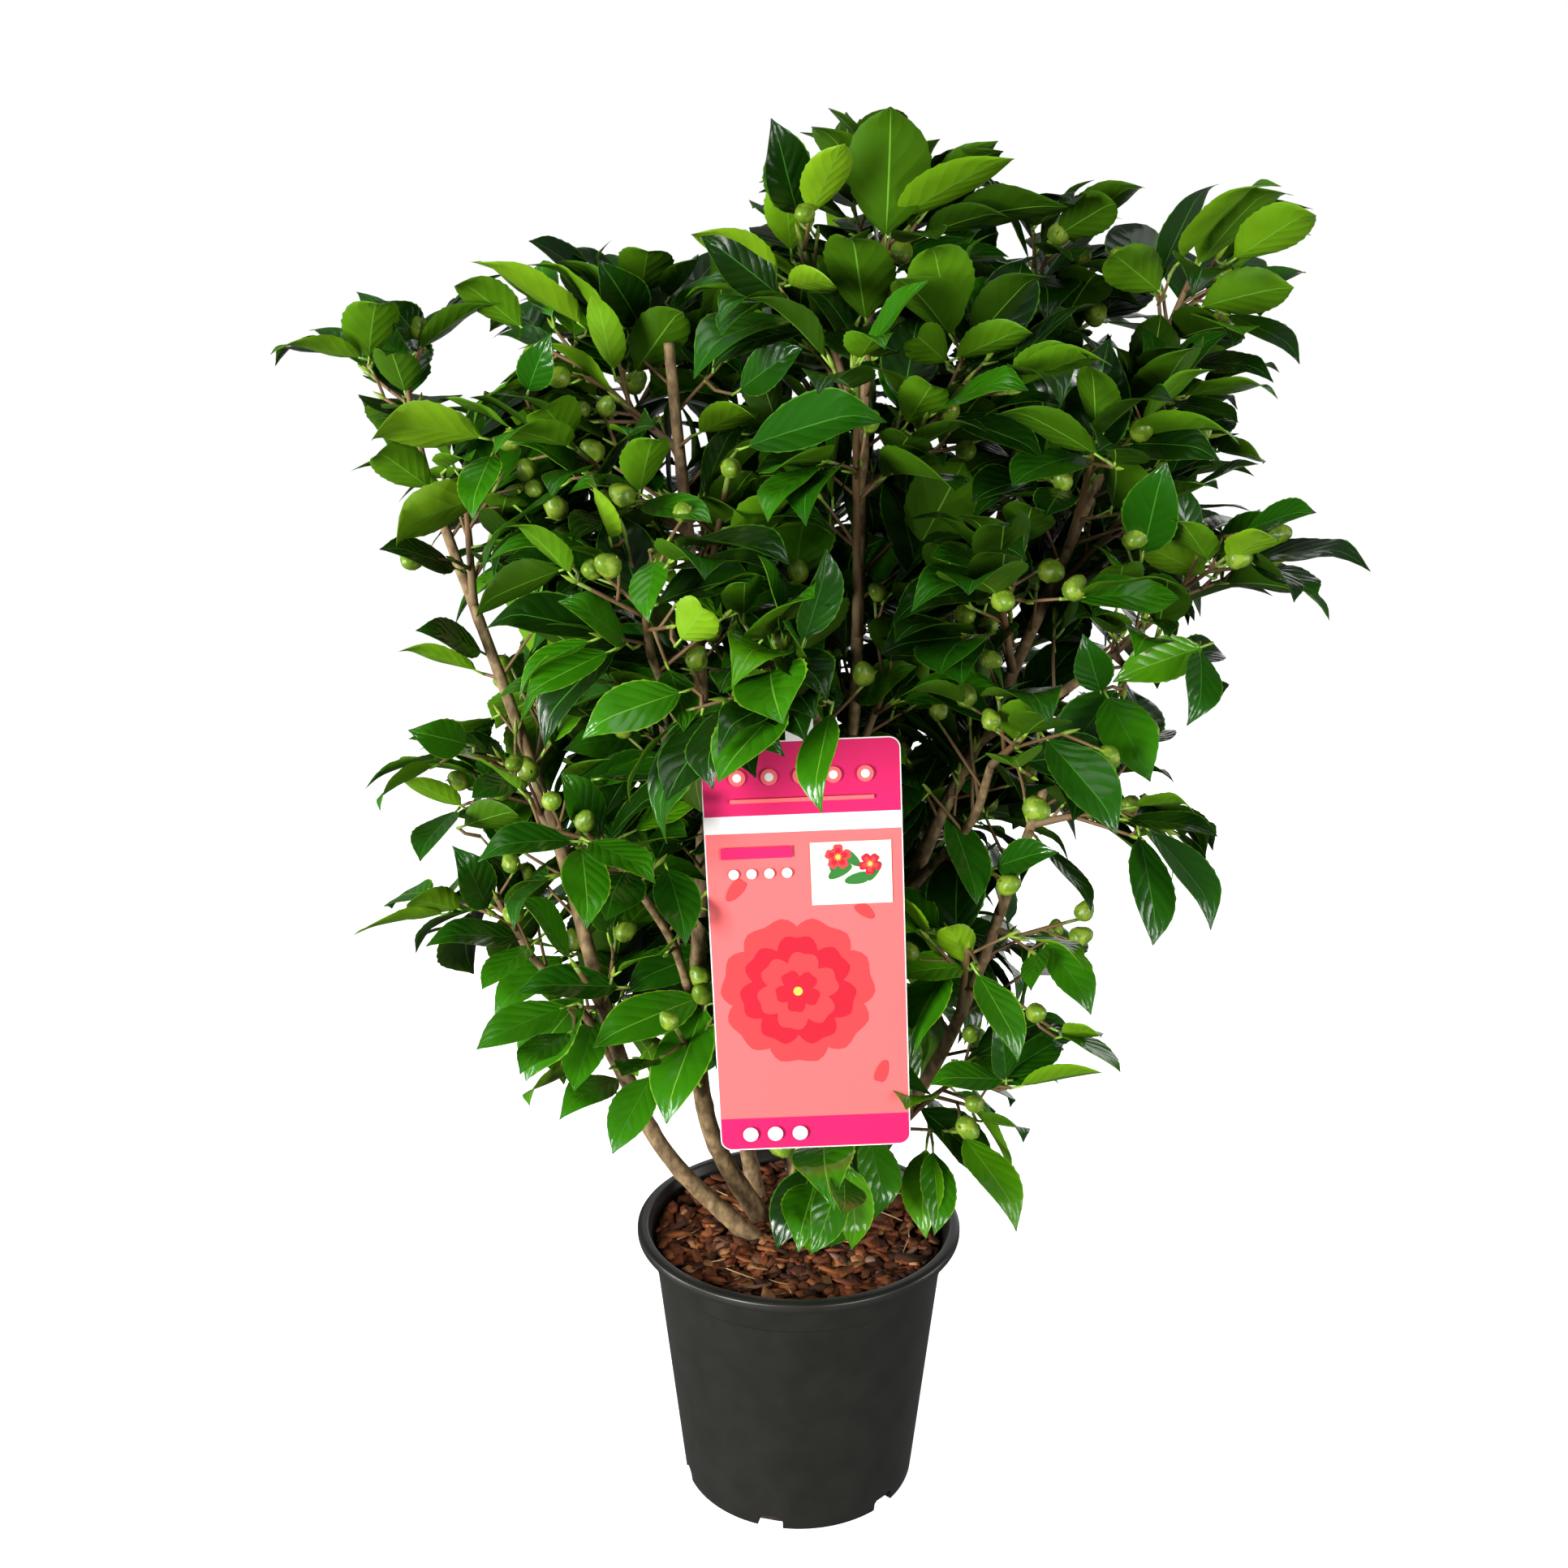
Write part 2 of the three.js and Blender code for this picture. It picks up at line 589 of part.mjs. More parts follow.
// The straight twigs that leave a mass's main shoot, and that shoot's own end.
function shootEnds(curve, mass) {
  const outward = curve.getPointAt(1).setZ(0).normalize();
  const massSeed = SEED + MASS_SEEDS * mass;
  const firstAzimuth = randomFrom(massSeed)() * 2 * Math.PI;
  const leafyEnd = curve.getLength() * SHOOT.leafyShare;
  const ends = [{ tip: curve.getPointAt(1), along: curve.getTangentAt(1), leafy: leafyEnd }];
  SHOOT.sideShares.forEach((share, i) => {
    const random = randomFrom(massSeed + TWIG_SEEDS * (i + 1));
    const start = curve.getPointAt(share);
    const azimuth = firstAzimuth + i * GOLDEN_ANGLE;
    const along = turned(curve.getTangentAt(share), azimuth, SHOOT.sideAngle)
      .addScaledVector(UP, SHOOT.lift)
      .addScaledVector(outward, SHOOT.spread)
      .normalize();
    const scale = lerp(...SHOOT.sideScale, share) * lerp(...SHOOT.sideJitter, random());
    const length = SHOOT.sideLength * scale;
    const tip = start.clone().addScaledVector(along, length);
    const samples = [0.4, 0.6, 0.8, 1].map((s) => start.clone().lerp(tip, s));
    if (!inOwnSpace([tip.clone().addScaledVector(along, SHOOT.tipSpare)], mass)) return;
    if (!clearOfLimbs(samples, mass, SAMPLE_CLEARANCE)) return;
    if (!clearOfLabelAndPot(samples, SAMPLE_CLEARANCE)) return;
    ends.push({ start, tip, along, leafy: length - SHOOT.bareFoot });
  });
  return ends;
}

function budSolid({ tip, along }, mass) {
  const centre = tip.clone().addScaledVector(along, BUD.radius * BUD.seat);
  const bud = new THREE.OctahedronGeometry(BUD.radius).translate(...centre);
  const fits = inOwnSpace(cornersOf(bud), mass) && clearOfLimbs([centre], mass, BUD.radius);
  return fits ? [solidOf(bud)] : [];
}

function growMass({ on }, mass) {
  const curve = shoots[mass];
  const ends = shootEnds(curve, mass);
  const mainTwig = twigGeometry(curve.getPoints(2), ...SHOOT.radii);
  const sideTwigs = ends.slice(1).map(({ start, tip }) => twigGeometry([start, tip], ...SHOOT.sideRadii));
  let tissue = wasm.Manifold.union([mainTwig, ...sideTwigs].map(solidOf));
  const fits = (leaf) => {
    const geometry = leafGeometry(leaf);
    const samples = leafSamples(leaf);
    return (
      inOwnSpace(cornersOf(geometry), mass) &&
      clearOfLimbs(samples, mass, SAMPLE_CLEARANCE) &&
      clearOfLabelAndPot(samples, SAMPLE_CLEARANCE) &&
      tissue.intersect(solidOf(geometry)).volume() < LEAF.touch
    );
  };
  const random = randomFrom(SEED + MASS_SEEDS * mass + 1);
  const budded = ends.filter(() => random() < BUD.share);
  tissue = wasm.Manifold.union([tissue, ...budded.flatMap((end) => budSolid(end, mass))]);
  const leaves = ends.flatMap((end) => leavesOn(end, random)).sort((a, b) => (a.k % 2) - (b.k % 2));
  let count = 0;
  for (const leaf of leaves) {
    const found = count < LEAF.most ? placed(leaf, fits) : null;
    if (found) tissue = tissue.add(solidOf(leafGeometry(found)));
    if (found) count += 1;
  }
  return tissue.subtract(limbs.get(on[0]).swollen);
}

// ---------------------------------------------------------------- the shrub
const shrub = new THREE.Group();
shrub.add(meshOf("pot", potSolid(), MATERIALS.pot));
shrub.add(meshOf("soil", soilSolid(), MATERIALS.soil));
const label = meshOf("label", solidOf(labelGeometry()), MATERIALS.label);
label.position.copy(eye);
label.rotation.y = -LABEL.lean;
shrub.add(label);
for (const [name, { solid }] of limbs) shrub.add(meshOf(name, solid, MATERIALS.bark));
MASSES.forEach((row, i) => shrub.add(meshOf(row.name, growMass(row, i), MATERIALS.leaf)));

export default shrub;
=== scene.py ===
# Looks of the potted camellia: bark, twigs, leaves and buds grown by the part's own rule, a fine pot,
# bark mulch and the card's generic pattern. Sizes are in millimetres until a mesh is made.
import math

import bpy
import numpy as np
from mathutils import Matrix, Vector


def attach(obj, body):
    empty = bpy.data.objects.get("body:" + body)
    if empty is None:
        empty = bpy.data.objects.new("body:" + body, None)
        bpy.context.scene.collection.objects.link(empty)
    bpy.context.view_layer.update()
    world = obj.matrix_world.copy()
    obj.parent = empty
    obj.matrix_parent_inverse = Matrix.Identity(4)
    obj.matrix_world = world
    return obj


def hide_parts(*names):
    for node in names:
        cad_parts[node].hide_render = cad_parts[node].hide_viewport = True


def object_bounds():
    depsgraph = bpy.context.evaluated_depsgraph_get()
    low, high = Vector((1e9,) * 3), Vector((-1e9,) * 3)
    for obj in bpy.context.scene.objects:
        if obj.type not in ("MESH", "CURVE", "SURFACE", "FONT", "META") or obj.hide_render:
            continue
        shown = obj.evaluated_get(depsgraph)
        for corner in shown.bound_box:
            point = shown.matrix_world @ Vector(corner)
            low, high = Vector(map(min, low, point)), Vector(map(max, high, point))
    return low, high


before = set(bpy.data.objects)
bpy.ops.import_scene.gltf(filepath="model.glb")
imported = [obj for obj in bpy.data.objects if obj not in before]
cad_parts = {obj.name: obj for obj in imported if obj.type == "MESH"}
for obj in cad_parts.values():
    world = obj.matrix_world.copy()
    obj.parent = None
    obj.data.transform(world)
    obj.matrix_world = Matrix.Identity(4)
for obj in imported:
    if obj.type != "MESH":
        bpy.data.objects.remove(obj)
cad_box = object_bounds()

MM = 0.001
WORD = 0xFFFFFFFF

# ---------------------------------------------------------------- sizes shared with the part
GAP = 0.3
SEED = 22
MASS_SEEDS = 101
TWIG_SEEDS = 7001
GOLDEN_ANGLE = math.radians(137.5)
NEXT_TURN = 0.87 * 2 * math.pi / 3
UP = np.array([0.0, 0.0, 1.0])

POT = {
    "height": 160, "rim": 95, "mouth": 89, "base": 68.6, "shoulder": 84, "collar_radii": (85.2, 87),
    "wall": 1.6, "floor": 3, "lip": 5.5, "collar": 18,
}
NOTCH = {"count": 6, "width": 15, "height": 8, "depth": 14, "first": math.radians(256)}
SOIL = {"level": 150, "drop": 3.5, "edge": 83.6, "flat": 46}
LABEL = {
    "width": 100, "height": 220, "corner": 6, "thick": 0.8, "strap": 18, "y": -85, "lean": math.radians(2.4),
}
EYE_INNER = 3

# name, foot on the soil or (limb, share), bends, tip, radii
LIMBS = [
    ("stem_left_low", (-26, -10), [(-84, -16, 222), (-137, -12, 408)], (-197, 0, 588), (5.5, 2.6)),
    ("stem_left", (-21, 13), [(-54, 4, 222), (-52, -18, 458)], (-67, -20, 659), (6, 2.8)),
    ("stem_centre", (-8, -4), [(22, -10, 330)], (34, -20, 668), (5.2, 2.6)),
    ("stem_right", (2, 14), [(68, 14, 372), (121, 10, 493)], (176, 8, 632), (6, 2.6)),
    ("stem_right_low", (13, -3), [(82, -10, 270)], (134, -20, 430), (5, 2.6)),
    ("stem_back_right", (20, 28), [(66, 62, 330)], (128, 66, 624), (5, 2.5)),
    ("stem_back_left", (-24, 34), [(-60, 68, 320)], (-104, 66, 606), (5, 2.5)),
    ("stem_back", (-2, 38), [(0, 98, 330)], (10, 112, 604), (5, 2.5)),
    ("bough_front", ("stem_centre", 0.52), [(6, -58, 476)], (-6, -102, 489), (2.6, 2)),
    ("bough_left_mid", ("stem_left", 0.3), [(-70, -36, 345)], (-88, -60, 386), (3, 2.2)),
    ("bough_left_out", ("stem_left_low", 0.24), [(-120, -12, 290)], (-152, -6, 326), (3.2, 2.2)),
    ("bough_left_front", ("stem_left", 0.62), [(-62, -56, 470)], (-74, -82, 508), (3, 2.2)),
    ("bough_right_front", ("stem_right", 0.44), [(92, -30, 410)], (98, -60, 448), (3, 2.2)),
    ("bough_right_mid", ("stem_right", 0.62), [(150, -6, 482)], (186, -26, 520), (3.2, 2.2)),
]

# name, (limb, share), point that the main shoot reaches
MASSES = [
    ("mass_top_centre", ("stem_centre", 1), (44, -4, 722)),
    ("mass_top_centre_left", ("stem_centre", 0.9), (-2, -34, 712)),
    ("mass_top_right_inner", ("stem_back_right", 1), (126, 40, 708)),
    ("mass_top_right", ("stem_right", 1), (202, -4, 698)),
    ("mass_top_left", ("stem_left", 0.9), (-118, -12, 656)),
    ("mass_top_left_inner", ("stem_back_left", 1), (-68, 50, 664)),
    ("mass_top_back", ("stem_back", 1), (16, 110, 676)),
    ("mass_far_left", ("stem_left_low", 1), (-206, -4, 644)),
    ("mass_left_high_out", ("stem_left_low", 0.86), (-170, -40, 592)),
    ("mass_left_high", ("stem_left", 0.82), (-112, -68, 610)),
    ("mass_centre_left_high", ("stem_left", 0.72), (-34, -98, 600)),
    ("mass_front_high", ("stem_centre", 0.7), (24, -108, 648)),
    ("mass_right_high_front", ("stem_centre", 0.84), (84, -72, 646)),
    ("mass_right_high_out", ("stem_right", 0.93), (190, -36, 630)),
    ("mass_right_high_inner", ("stem_right", 0.84), (140, -84, 614)),
    ("mass_right_upper", ("stem_right", 0.78), (194, 34, 586)),
    ("mass_back_left", ("stem_back_left", 0.74), (-164, 92, 588)),
    ("mass_back_right", ("stem_back_right", 0.72), (176, 96, 590)),
    ("mass_back", ("stem_back", 0.72), (2, 180, 556)),
    ("mass_left_front", ("bough_left_front", 1), (-74, -128, 546)),
    ("mass_centre_right", ("stem_centre", 0.56), (66, -46, 548)),
    ("mass_centre_left", ("stem_left", 0.5), (-10, -34, 530)),
    ("mass_left_mid_back", ("stem_left_low", 0.66), (-138, 52, 500)),
    ("mass_front", ("bough_front", 1), (-14, -130, 498)),
    ("mass_right_front_high", ("stem_right", 0.7), (92, -104, 552)),
    ("mass_right_mid", ("bough_right_mid", 1), (206, -40, 550)),
    ("mass_right_mid_low", ("bough_right_mid", 0.75), (172, -52, 492)),
    ("mass_right_front", ("bough_right_front", 1), (108, -96, 470)),
    ("mass_left_mid_out", ("stem_left_low", 0.58), (-164, -18, 446)),
    ("mass_left_mid_front", ("bough_left_mid", 0.96), (-110, -88, 422)),
    ("mass_back_mid_left", ("stem_back_left", 0.48), (-112, 134, 450)),
    ("mass_back_mid_right", ("stem_back_right", 0.48), (112, 130, 450)),
    ("mass_left_low_out", ("bough_left_out", 1), (-176, -10, 372)),
    ("mass_left_low", ("stem_left_low", 0.34), (-122, -44, 334)),
    ("mass_left_foot", ("stem_left", 0.2), (-66, -74, 310)),
    ("mass_right_low_out", ("stem_right_low", 0.92), (176, -24, 416)),
    ("mass_right_low", ("stem_right_low", 0.72), (126, -26, 340)),
    ("mass_right_front_low", ("stem_right_low", 0.55), (88, -76, 362)),
    ("mass_right_foot", ("stem_right_low", 0.26), (94, -46, 272)),
    ("mass_front_foot", ("stem_centre", 0.2), (26, -74, 236)),
    ("mass_back_low_left", ("stem_back_left", 0.24), (-78, 104, 320)),
    ("mass_back_low_right", ("stem_back_right", 0.24), (84, 100, 322)),
]
STEM_UNDER_SOIL = 14
FLARE = 0.4
FLARE_LENGTH = 22
LIMB_TAPER = 0.8
SHOOT = {
    "shares": (0.3, 0.43, 0.62, 0.8), "angle": math.radians(52), "length": 46, "scale": (1.1, 0.75),
    "jitter": (0.85, 1.15), "lift": 0.22, "spread": 0.3, "arch": 0.12, "site": 0.72, "leafy": 0.6,
    "tip_spare": 3, "clearance": 5.5,
}
HANG = (0.42, 0.04)
CROWN = (230, 700)
SPHERE_STEP = 5
SPHERE_REACH = 60
# Where the crown is open, seen from the front: middle (x, z) on the plane y = 0 and radius.
SKY = (
    (-15, 791, 32), (81, 790, 33), (125, 781, 33), (231, 779, 33), (-49, 770, 33), (189, 770, 33),
    (280, 759, 33), (-150, 744, 33), (-83, 744, 33), (-192, 725, 33), (-251, 709, 33), (294, 708, 33),
    (296, 663, 34), (278, 624, 34), (-264, 622, 34), (313, 593, 34), (-258, 566, 35), (332, 537, 35),
    (-243, 525, 35), (321, 482, 35), (-239, 475, 35), (265, 449, 36), (-277, 420, 36), (268, 400, 36),
    (-281, 366, 37), (279, 352, 37), (243, 313, 37), (-277, 311, 37), (-234, 290, 37), (226, 266, 37),
    (-212, 242, 38), (190, 217, 38), (-158, 186, 38), (174, 169, 38), (25, 794, 23), (-239, 392, 24),
    (197, 311, 23), (184, 343, 21), (-110, 180, 21), (223, 435, 18), (178, 731, 14), (-178, 648, 15),
    (149, 358, 16), (-195, 480, 15), (287, 551, 14), (274, 511, 13), (177, 377, 13), (241, 489, 12),
    (141, 233, 13), (-116, 719, 11), (-203, 381, 12), (-235, 339, 12), (251, 592, 10), (155, 298, 11),
    (253, 705, 10), (250, 658, 10), (256, 516, 10), (140, 302, 10), (275, 576, 9), (-168, 519, 9),
    (138, 207, 10), (-43, 731, 8), (-188, 686, 8), (-159, 655, 8), (233, 635, 8), (269, 552, 9),
    (-199, 526, 9), (235, 521, 9), (-163, 505, 9), (186, 424, 9), (-213, 409, 9), (133, 346, 9),
    (-273, 673, 8), (264, 585, 8), (-168, 493, 8), (178, 290, 8), (-208, 687, 7), (-177, 666, 7),
    (231, 585, 7), (110, 742, 7), (255, 678, 7), (-173, 561, 7), (-179, 540, 7), (99, 175, 8),
    (-55, 714, 7), (106, 713, 7), (235, 619, 7), (224, 525, 7), (204, 478, 7), (-179, 469, 7),
    (162, 388, 7), (-170, 266, 7), (-152, 237, 8), (126, 213, 8), (133, 742, 6), (-155, 702, 6),
    (236, 661, 6), (219, 580, 6), (-164, 482, 6), (216, 457, 6), (-190, 388, 7), (-154, 379, 7),
    (142, 379, 7), (-216, 371, 7), (224, 360, 7), (-220, 344, 7), (-165, 250, 7),
    (-47, 137, 20), (-12, 122, 16), (22, 118, 16), (56, 127, 12), (-68, 163, 8), (-74, 140, 9), (81, 143, 7),
)
# Leaves that stand out at the front: base, tip, width, tilt in degrees, whether the underside shows,
# and how light they are from 0 to 9, their own green together with painted light and shade.
SHOWN = (
    (42, -26, 710, 42, -73, 767, 40, 0, 1, 3), (47, -29, 718, 96, -70, 746, 35, 55, 1, 7),
    (32, -37, 670, 21, -89, 713, 35, 15, 1, 3), (5, -55, 718, 17, -87, 748, 23, 30, 1, 8),
    (-5, -17, 704, -9, -57, 736, 25, 15, 1, 7), (-2, -49, 718, -13, -88, 749, 25, 15, 0, 1),
    (-12, -53, 690, -50, -78, 713, 26, 40, 1, 8), (-6, -53, 685, 18, -84, 687, 20, 50, 1, 8),
    (76, -51, 651, 110, -77, 667, 23, 45, 1, 5), (71, -50, 649, 49, -81, 665, 21, 0, 1, 4),
    (51, -69, 620, 63, -106, 644, 23, 15, 1, 5), (141, 29, 715, 170, -9, 744, 28, 50, 1, 3),
    (134, 17, 714, 160, -17, 731, 23, 15, 1, 2), (183, -8, 685, 147, -42, 705, 27, 15, 1, 5),
    (-25, -98, 610, 31, -124, 630, 33, 50, 0, 3), (-51, -38, 615, -20, -68, 630, 23, 45, 1, 7),
    (-31, -25, 636, -4, -57, 655, 23, 30, 0, 2), (-12, -53, 681, -43, -83, 704, 25, 15, 0, 0),
    (139, -91, 606, 94, -103, 634, 27, 55, 1, 3), (71, -66, 623, 115, -92, 610, 27, 65, 0, 0),
    (-226, -12, 652, -261, -49, 662, 26, 65, 1, 7), (-222, -11, 652, -208, -54, 684, 28, 15, 1, 5),
    (-198, 8, 658, -202, -30, 678, 22, 40, 0, 1), (-199, 0, 656, -161, -11, 685, 25, 65, 1, 2),
    (-206, -4, 635, -204, -41, 662, 23, 15, 1, 2), (-157, -61, 613, -203, -99, 624, 30, 50, 1, 8),
    (-187, -45, 588, -208, -79, 612, 23, 20, 1, 5), (-158, -40, 584, -205, -76, 571, 30, 45, 1, 9),
    (-179, -30, 546, -203, -66, 563, 23, 55, 0, 1), (-146, 7, 668, -175, -24, 694, 25, 35, 1, 5),
    (-116, 9, 670, -160, -35, 703, 35, 60, 1, 8), (-113, 68, 694, -142, 40, 716, 23, 60, 0, 1),
    (-88, 67, 688, -80, 26, 714, 30, 0, 1, 5), (-72, 60, 686, -56, 24, 708, 23, 50, 1, 2),
    (-83, -1, 669, -95, -45, 693, 25, 10, 0, 0), (-96, -15, 646, -102, -40, 685, 24, 40, 1, 6),
    (-86, -4, 645, -57, -34, 680, 27, 15, 1, 3), (-133, -61, 635, -122, -88, 656, 18, 5, 0, 3),
    (-155, -45, 604, -161, -82, 582, 22, 35, 0, 5), (-110, -134, 556, -149, -161, 545, 24, 50, 1, 3),
    (-90, -107, 568, -91, -140, 600, 23, 60, 1, 8), (-77, -94, 589, -67, -125, 622, 23, 30, 1, 4),
    (-76, -95, 583, -43, -127, 582, 23, 55, 0, 4), (-68, -123, 559, -71, -154, 540, 19, 30, 0, 4),
    (191, -21, 700, 214, -70, 739, 33, 70, 1, 7), (215, -29, 699, 243, -71, 722, 28, 35, 1, 6),
    (209, 6, 678, 245, -32, 689, 27, 30, 1, 4), (218, -11, 673, 251, -39, 657, 23, 65, 0, 1),
    (195, -22, 633, 231, -58, 643, 26, 65, 1, 5), (203, -5, 650, 231, -41, 649, 23, 60, 0, 0),
    (187, -33, 629, 210, -73, 627, 23, 70, 0, 1), (157, -66, 613, 201, -106, 625, 30, 70, 1, 4),
    (160, -67, 610, 192, -100, 612, 23, 45, 0, 0), (216, -17, 605, 230, -53, 606, 20, 60, 1, 4),
    (170, -62, 557, 168, -100, 597, 28, 15, 0, 3), (210, -74, 554, 221, -112, 577, 23, 40, 1, 8),
    (228, -36, 552, 272, -83, 564, 32, 70, 0, 1), (219, -66, 568, 233, -108, 582, 23, 55, 0, 2),
    (207, -40, 544, 169, -58, 562, 23, 35, 1, 6), (203, -62, 553, 179, -90, 580, 23, 40, 1, 5),
    (-176, -3, 488, -209, -27, 508, 23, 70, 1, 6), (-173, -1, 498, -192, -37, 519, 23, 50, 0, 2),
    (-176, -36, 454, -193, -72, 469, 21, 0, 0, 5), (-195, -38, 442, -221, -75, 436, 23, 70, 1, 5),
    (-187, -6, 413, -214, -33, 438, 23, 55, 1, 7), (-190, -7, 410, -204, -50, 400, 23, 65, 0, 2),
    (-185, -7, 402, -150, -31, 420, 23, 35, 1, 3), (-112, -111, 422, -151, -134, 430, 23, 55, 0, 3),
    (-102, -69, 412, -117, -93, 449, 23, 30, 0, 4), (-108, -106, 417, -99, -149, 397, 24, 15, 0, 5),
    (-103, -112, 422, -71, -146, 419, 23, 50, 0, 4), (-171, -26, 360, -177, -53, 397, 23, 25, 0, 2),
    (-158, 2, 351, -164, -23, 389, 23, 55, 0, 1), (-191, -5, 353, -212, -41, 372, 23, 50, 1, 6),
    (-200, -8, 351, -241, -42, 356, 27, 75, 1, 7), (-157, -7, 336, -201, -34, 351, 27, 55, 0, 3),
    (-150, -7, 333, -171, -46, 324, 23, 55, 0, 4), (-137, 16, 317, -172, -21, 301, 27, 40, 0, 4),
    (-100, -30, 316, -148, -56, 328, 28, 45, 0, 3), (-125, -54, 314, -168, -88, 310, 28, 45, 0, 4),
    (-55, -28, 309, -109, -64, 301, 32, 40, 0, 5), (-53, -31, 305, -72, -82, 263, 34, 30, 0, 5),
    (-116, -10, 289, -122, -52, 266, 24, 15, 0, 4), (-124, -62, 302, -145, -103, 303, 23, 60, 0, 4),
    (-133, -12, 256, -153, -49, 264, 21, 65, 1, 7), (-49, 7, 324, -96, -21, 317, 28, 40, 0, 3),
    (-69, -68, 395, -55, -111, 375, 24, 15, 0, 2), (-56, -136, 500, -98, -161, 491, 25, 30, 0, 5),
    (-92, -112, 515, -128, -137, 501, 23, 50, 0, 5), (-93, 72, 436, -129, 38, 440, 25, 15, 0, 4),
    (-55, -146, 526, -39, -171, 547, 22, 0, 1, 9), (-84, -103, 518, -104, -136, 543, 23, 55, 0, 4),
    (-83, -31, 263, -101, -68, 239, 24, 15, 0, 4), (-103, -18, 256, -128, -56, 260, 23, 45, 0, 4),
    (-63, -114, 507, -51, -148, 489, 20, 30, 0, 5), (207, -43, 507, 163, -62, 495, 24, 15, 0, 6),
    (206, -44, 505, 201, -81, 479, 23, 45, 0, 3), (158, -51, 482, 169, -98, 454, 28, 15, 0, 4),
    (155, -47, 484, 142, -71, 512, 20, 0, 0, 3), (121, -90, 468, 152, -128, 436, 29, 35, 0, 3),
    (173, -43, 415, 211, -74, 420, 25, 65, 0, 1), (185, -42, 409, 216, -87, 380, 31, 65, 0, 2),
    (180, -44, 406, 185, -83, 362, 29, 45, 0, 2), (131, -33, 398, 154, -66, 377, 23, 70, 0, 1),
    (107, -30, 385, 126, -62, 404, 21, 30, 0, 3), (81, -19, 412, 98, -54, 374, 27, 45, 0, 3),
    (89, -49, 337, 78, -69, 368, 20, 0, 1, 9), (89, -44, 332, 51, -68, 342, 23, 45, 0, 6),
    (89, -102, 350, 108, -136, 324, 24, 35, 0, 5), (136, -16, 334, 122, -44, 325, 16, 45, 0, 4),
    (138, -14, 336, 159, -48, 313, 23, 30, 0, 4), (136, -74, 308, 163, -111, 308, 23, 70, 0, 5),
    (138, -76, 306, 153, -100, 322, 17, 50, 1, 6), (120, -58, 270, 159, -76, 291, 24, 70, 1, 6),
    (110, -55, 272, 71, -76, 284, 23, 50, 0, 5), (112, -55, 272, 106, -71, 315, 23, 40, 0, 3),
    (100, -56, 248, 121, -90, 261, 21, 70, 1, 2), (93, -31, 226, 121, -77, 204, 29, 40, 0, 6),
    (72, -26, 216, 64, -66, 190, 24, 15, 0, 6), (76, -29, 216, 76, -69, 193, 23, 30, 0, 5),
    (12, -154, 493, 3, -186, 462, 23, 40, 0, 5), (29, -15, 474, 55, -43, 498, 23, 35, 0, 6),
    (28, -13, 455, 53, -52, 451, 23, 55, 0, 6), (-238, 16, 653, -287, 52, 665, 24, 70, 0, 1),
)


# ---------------------------------------------------------------- small tools
def random_from(seed):
    """A seeded random number between 0 and 1: mulberry32, as in the part."""
    state = seed & WORD

    def draw():
        nonlocal state
        state = (state + 0x6D2B79F5) & WORD
        t = ((state ^ (state >> 15)) * (1 | state)) & WORD
        t = ((t + (t ^ (t >> 7)) * (61 | t)) & WORD) ^ t
        return ((t ^ (t >> 14)) & WORD) / 2**32

    return draw


def lerp(a, b, share):
    return a + (b - a) * share


def clamp(value, low, high):
    return max(low, min(high, value))


def unit(vector):
    return vector / np.linalg.norm(vector)


def sideways(along):
    """Two directions square to the given one, as in the part."""
    first = np.cross(UP, along)
    if np.linalg.norm(first) < 0.1:
        first = np.cross([1, 0, 0], along)
    first = unit(first)
    return first, unit(np.cross(first, along))


def turned(along, azimuth, angle):
    first, second = sideways(along)
    out = first * math.cos(azimuth) + second * math.sin(azimuth)
    return along * math.cos(angle) + out * math.sin(angle)


class Curve:
    """A curve through dense points, measured by shares of its length."""

    def __init__(self, points):
        self.points = np.asarray(points, float)
        steps = np.linalg.norm(np.diff(self.points, axis=0), axis=1)
        self.reached = np.concatenate([[0], np.cumsum(steps)])
        self.length = self.reached[-1]

    def at(self, share):
        """The point at a share of the length, or an array of them."""
        where = np.asarray(share, float) * self.length
        return np.stack([np.interp(where, self.reached, self.points[:, i]) for i in range(3)], axis=-1)

    def tangent(self, share):
        step = 0.5 / self.length
        return unit(self.at(min(1, share + step)) - self.at(max(0, share - step)))


def catmull_rom(knots, divisions=60):
    """Dense points of a centripetal Catmull-Rom curve through a few knots."""
    knots = [np.asarray(k, float) for k in knots]
    ends = [2 * knots[0] - knots[1], *knots, 2 * knots[-1] - knots[-2]]
    t = np.linspace(0, 1, divisions + 1)[:, None]
    dense = []
    for a, b, c, d in zip(ends, ends[1:], ends[2:], ends[3:]):
        ab, bc, cd = [math.sqrt(np.linalg.norm(q - p)) for p, q in ((a, b), (b, c), (c, d))]
        start = ((b - a) / ab - (c - a) / (ab + bc) + (c - b) / bc) * bc
        end = ((c - b) / bc - (d - b) / (bc + cd) + (d - c) / cd) * bc
        square = 3 * (c - b) - 2 * start - end
        cube = 2 * (b - c) + start + end
        dense.append(b + start * t + square * t**2 + cube * t**3)
    return np.concatenate([dense[0], *[part[1:] for part in dense[1:]]])


def circle(count):
    """Angles of points spread evenly round a circle."""
    return np.arange(count) * 2 * math.pi / count


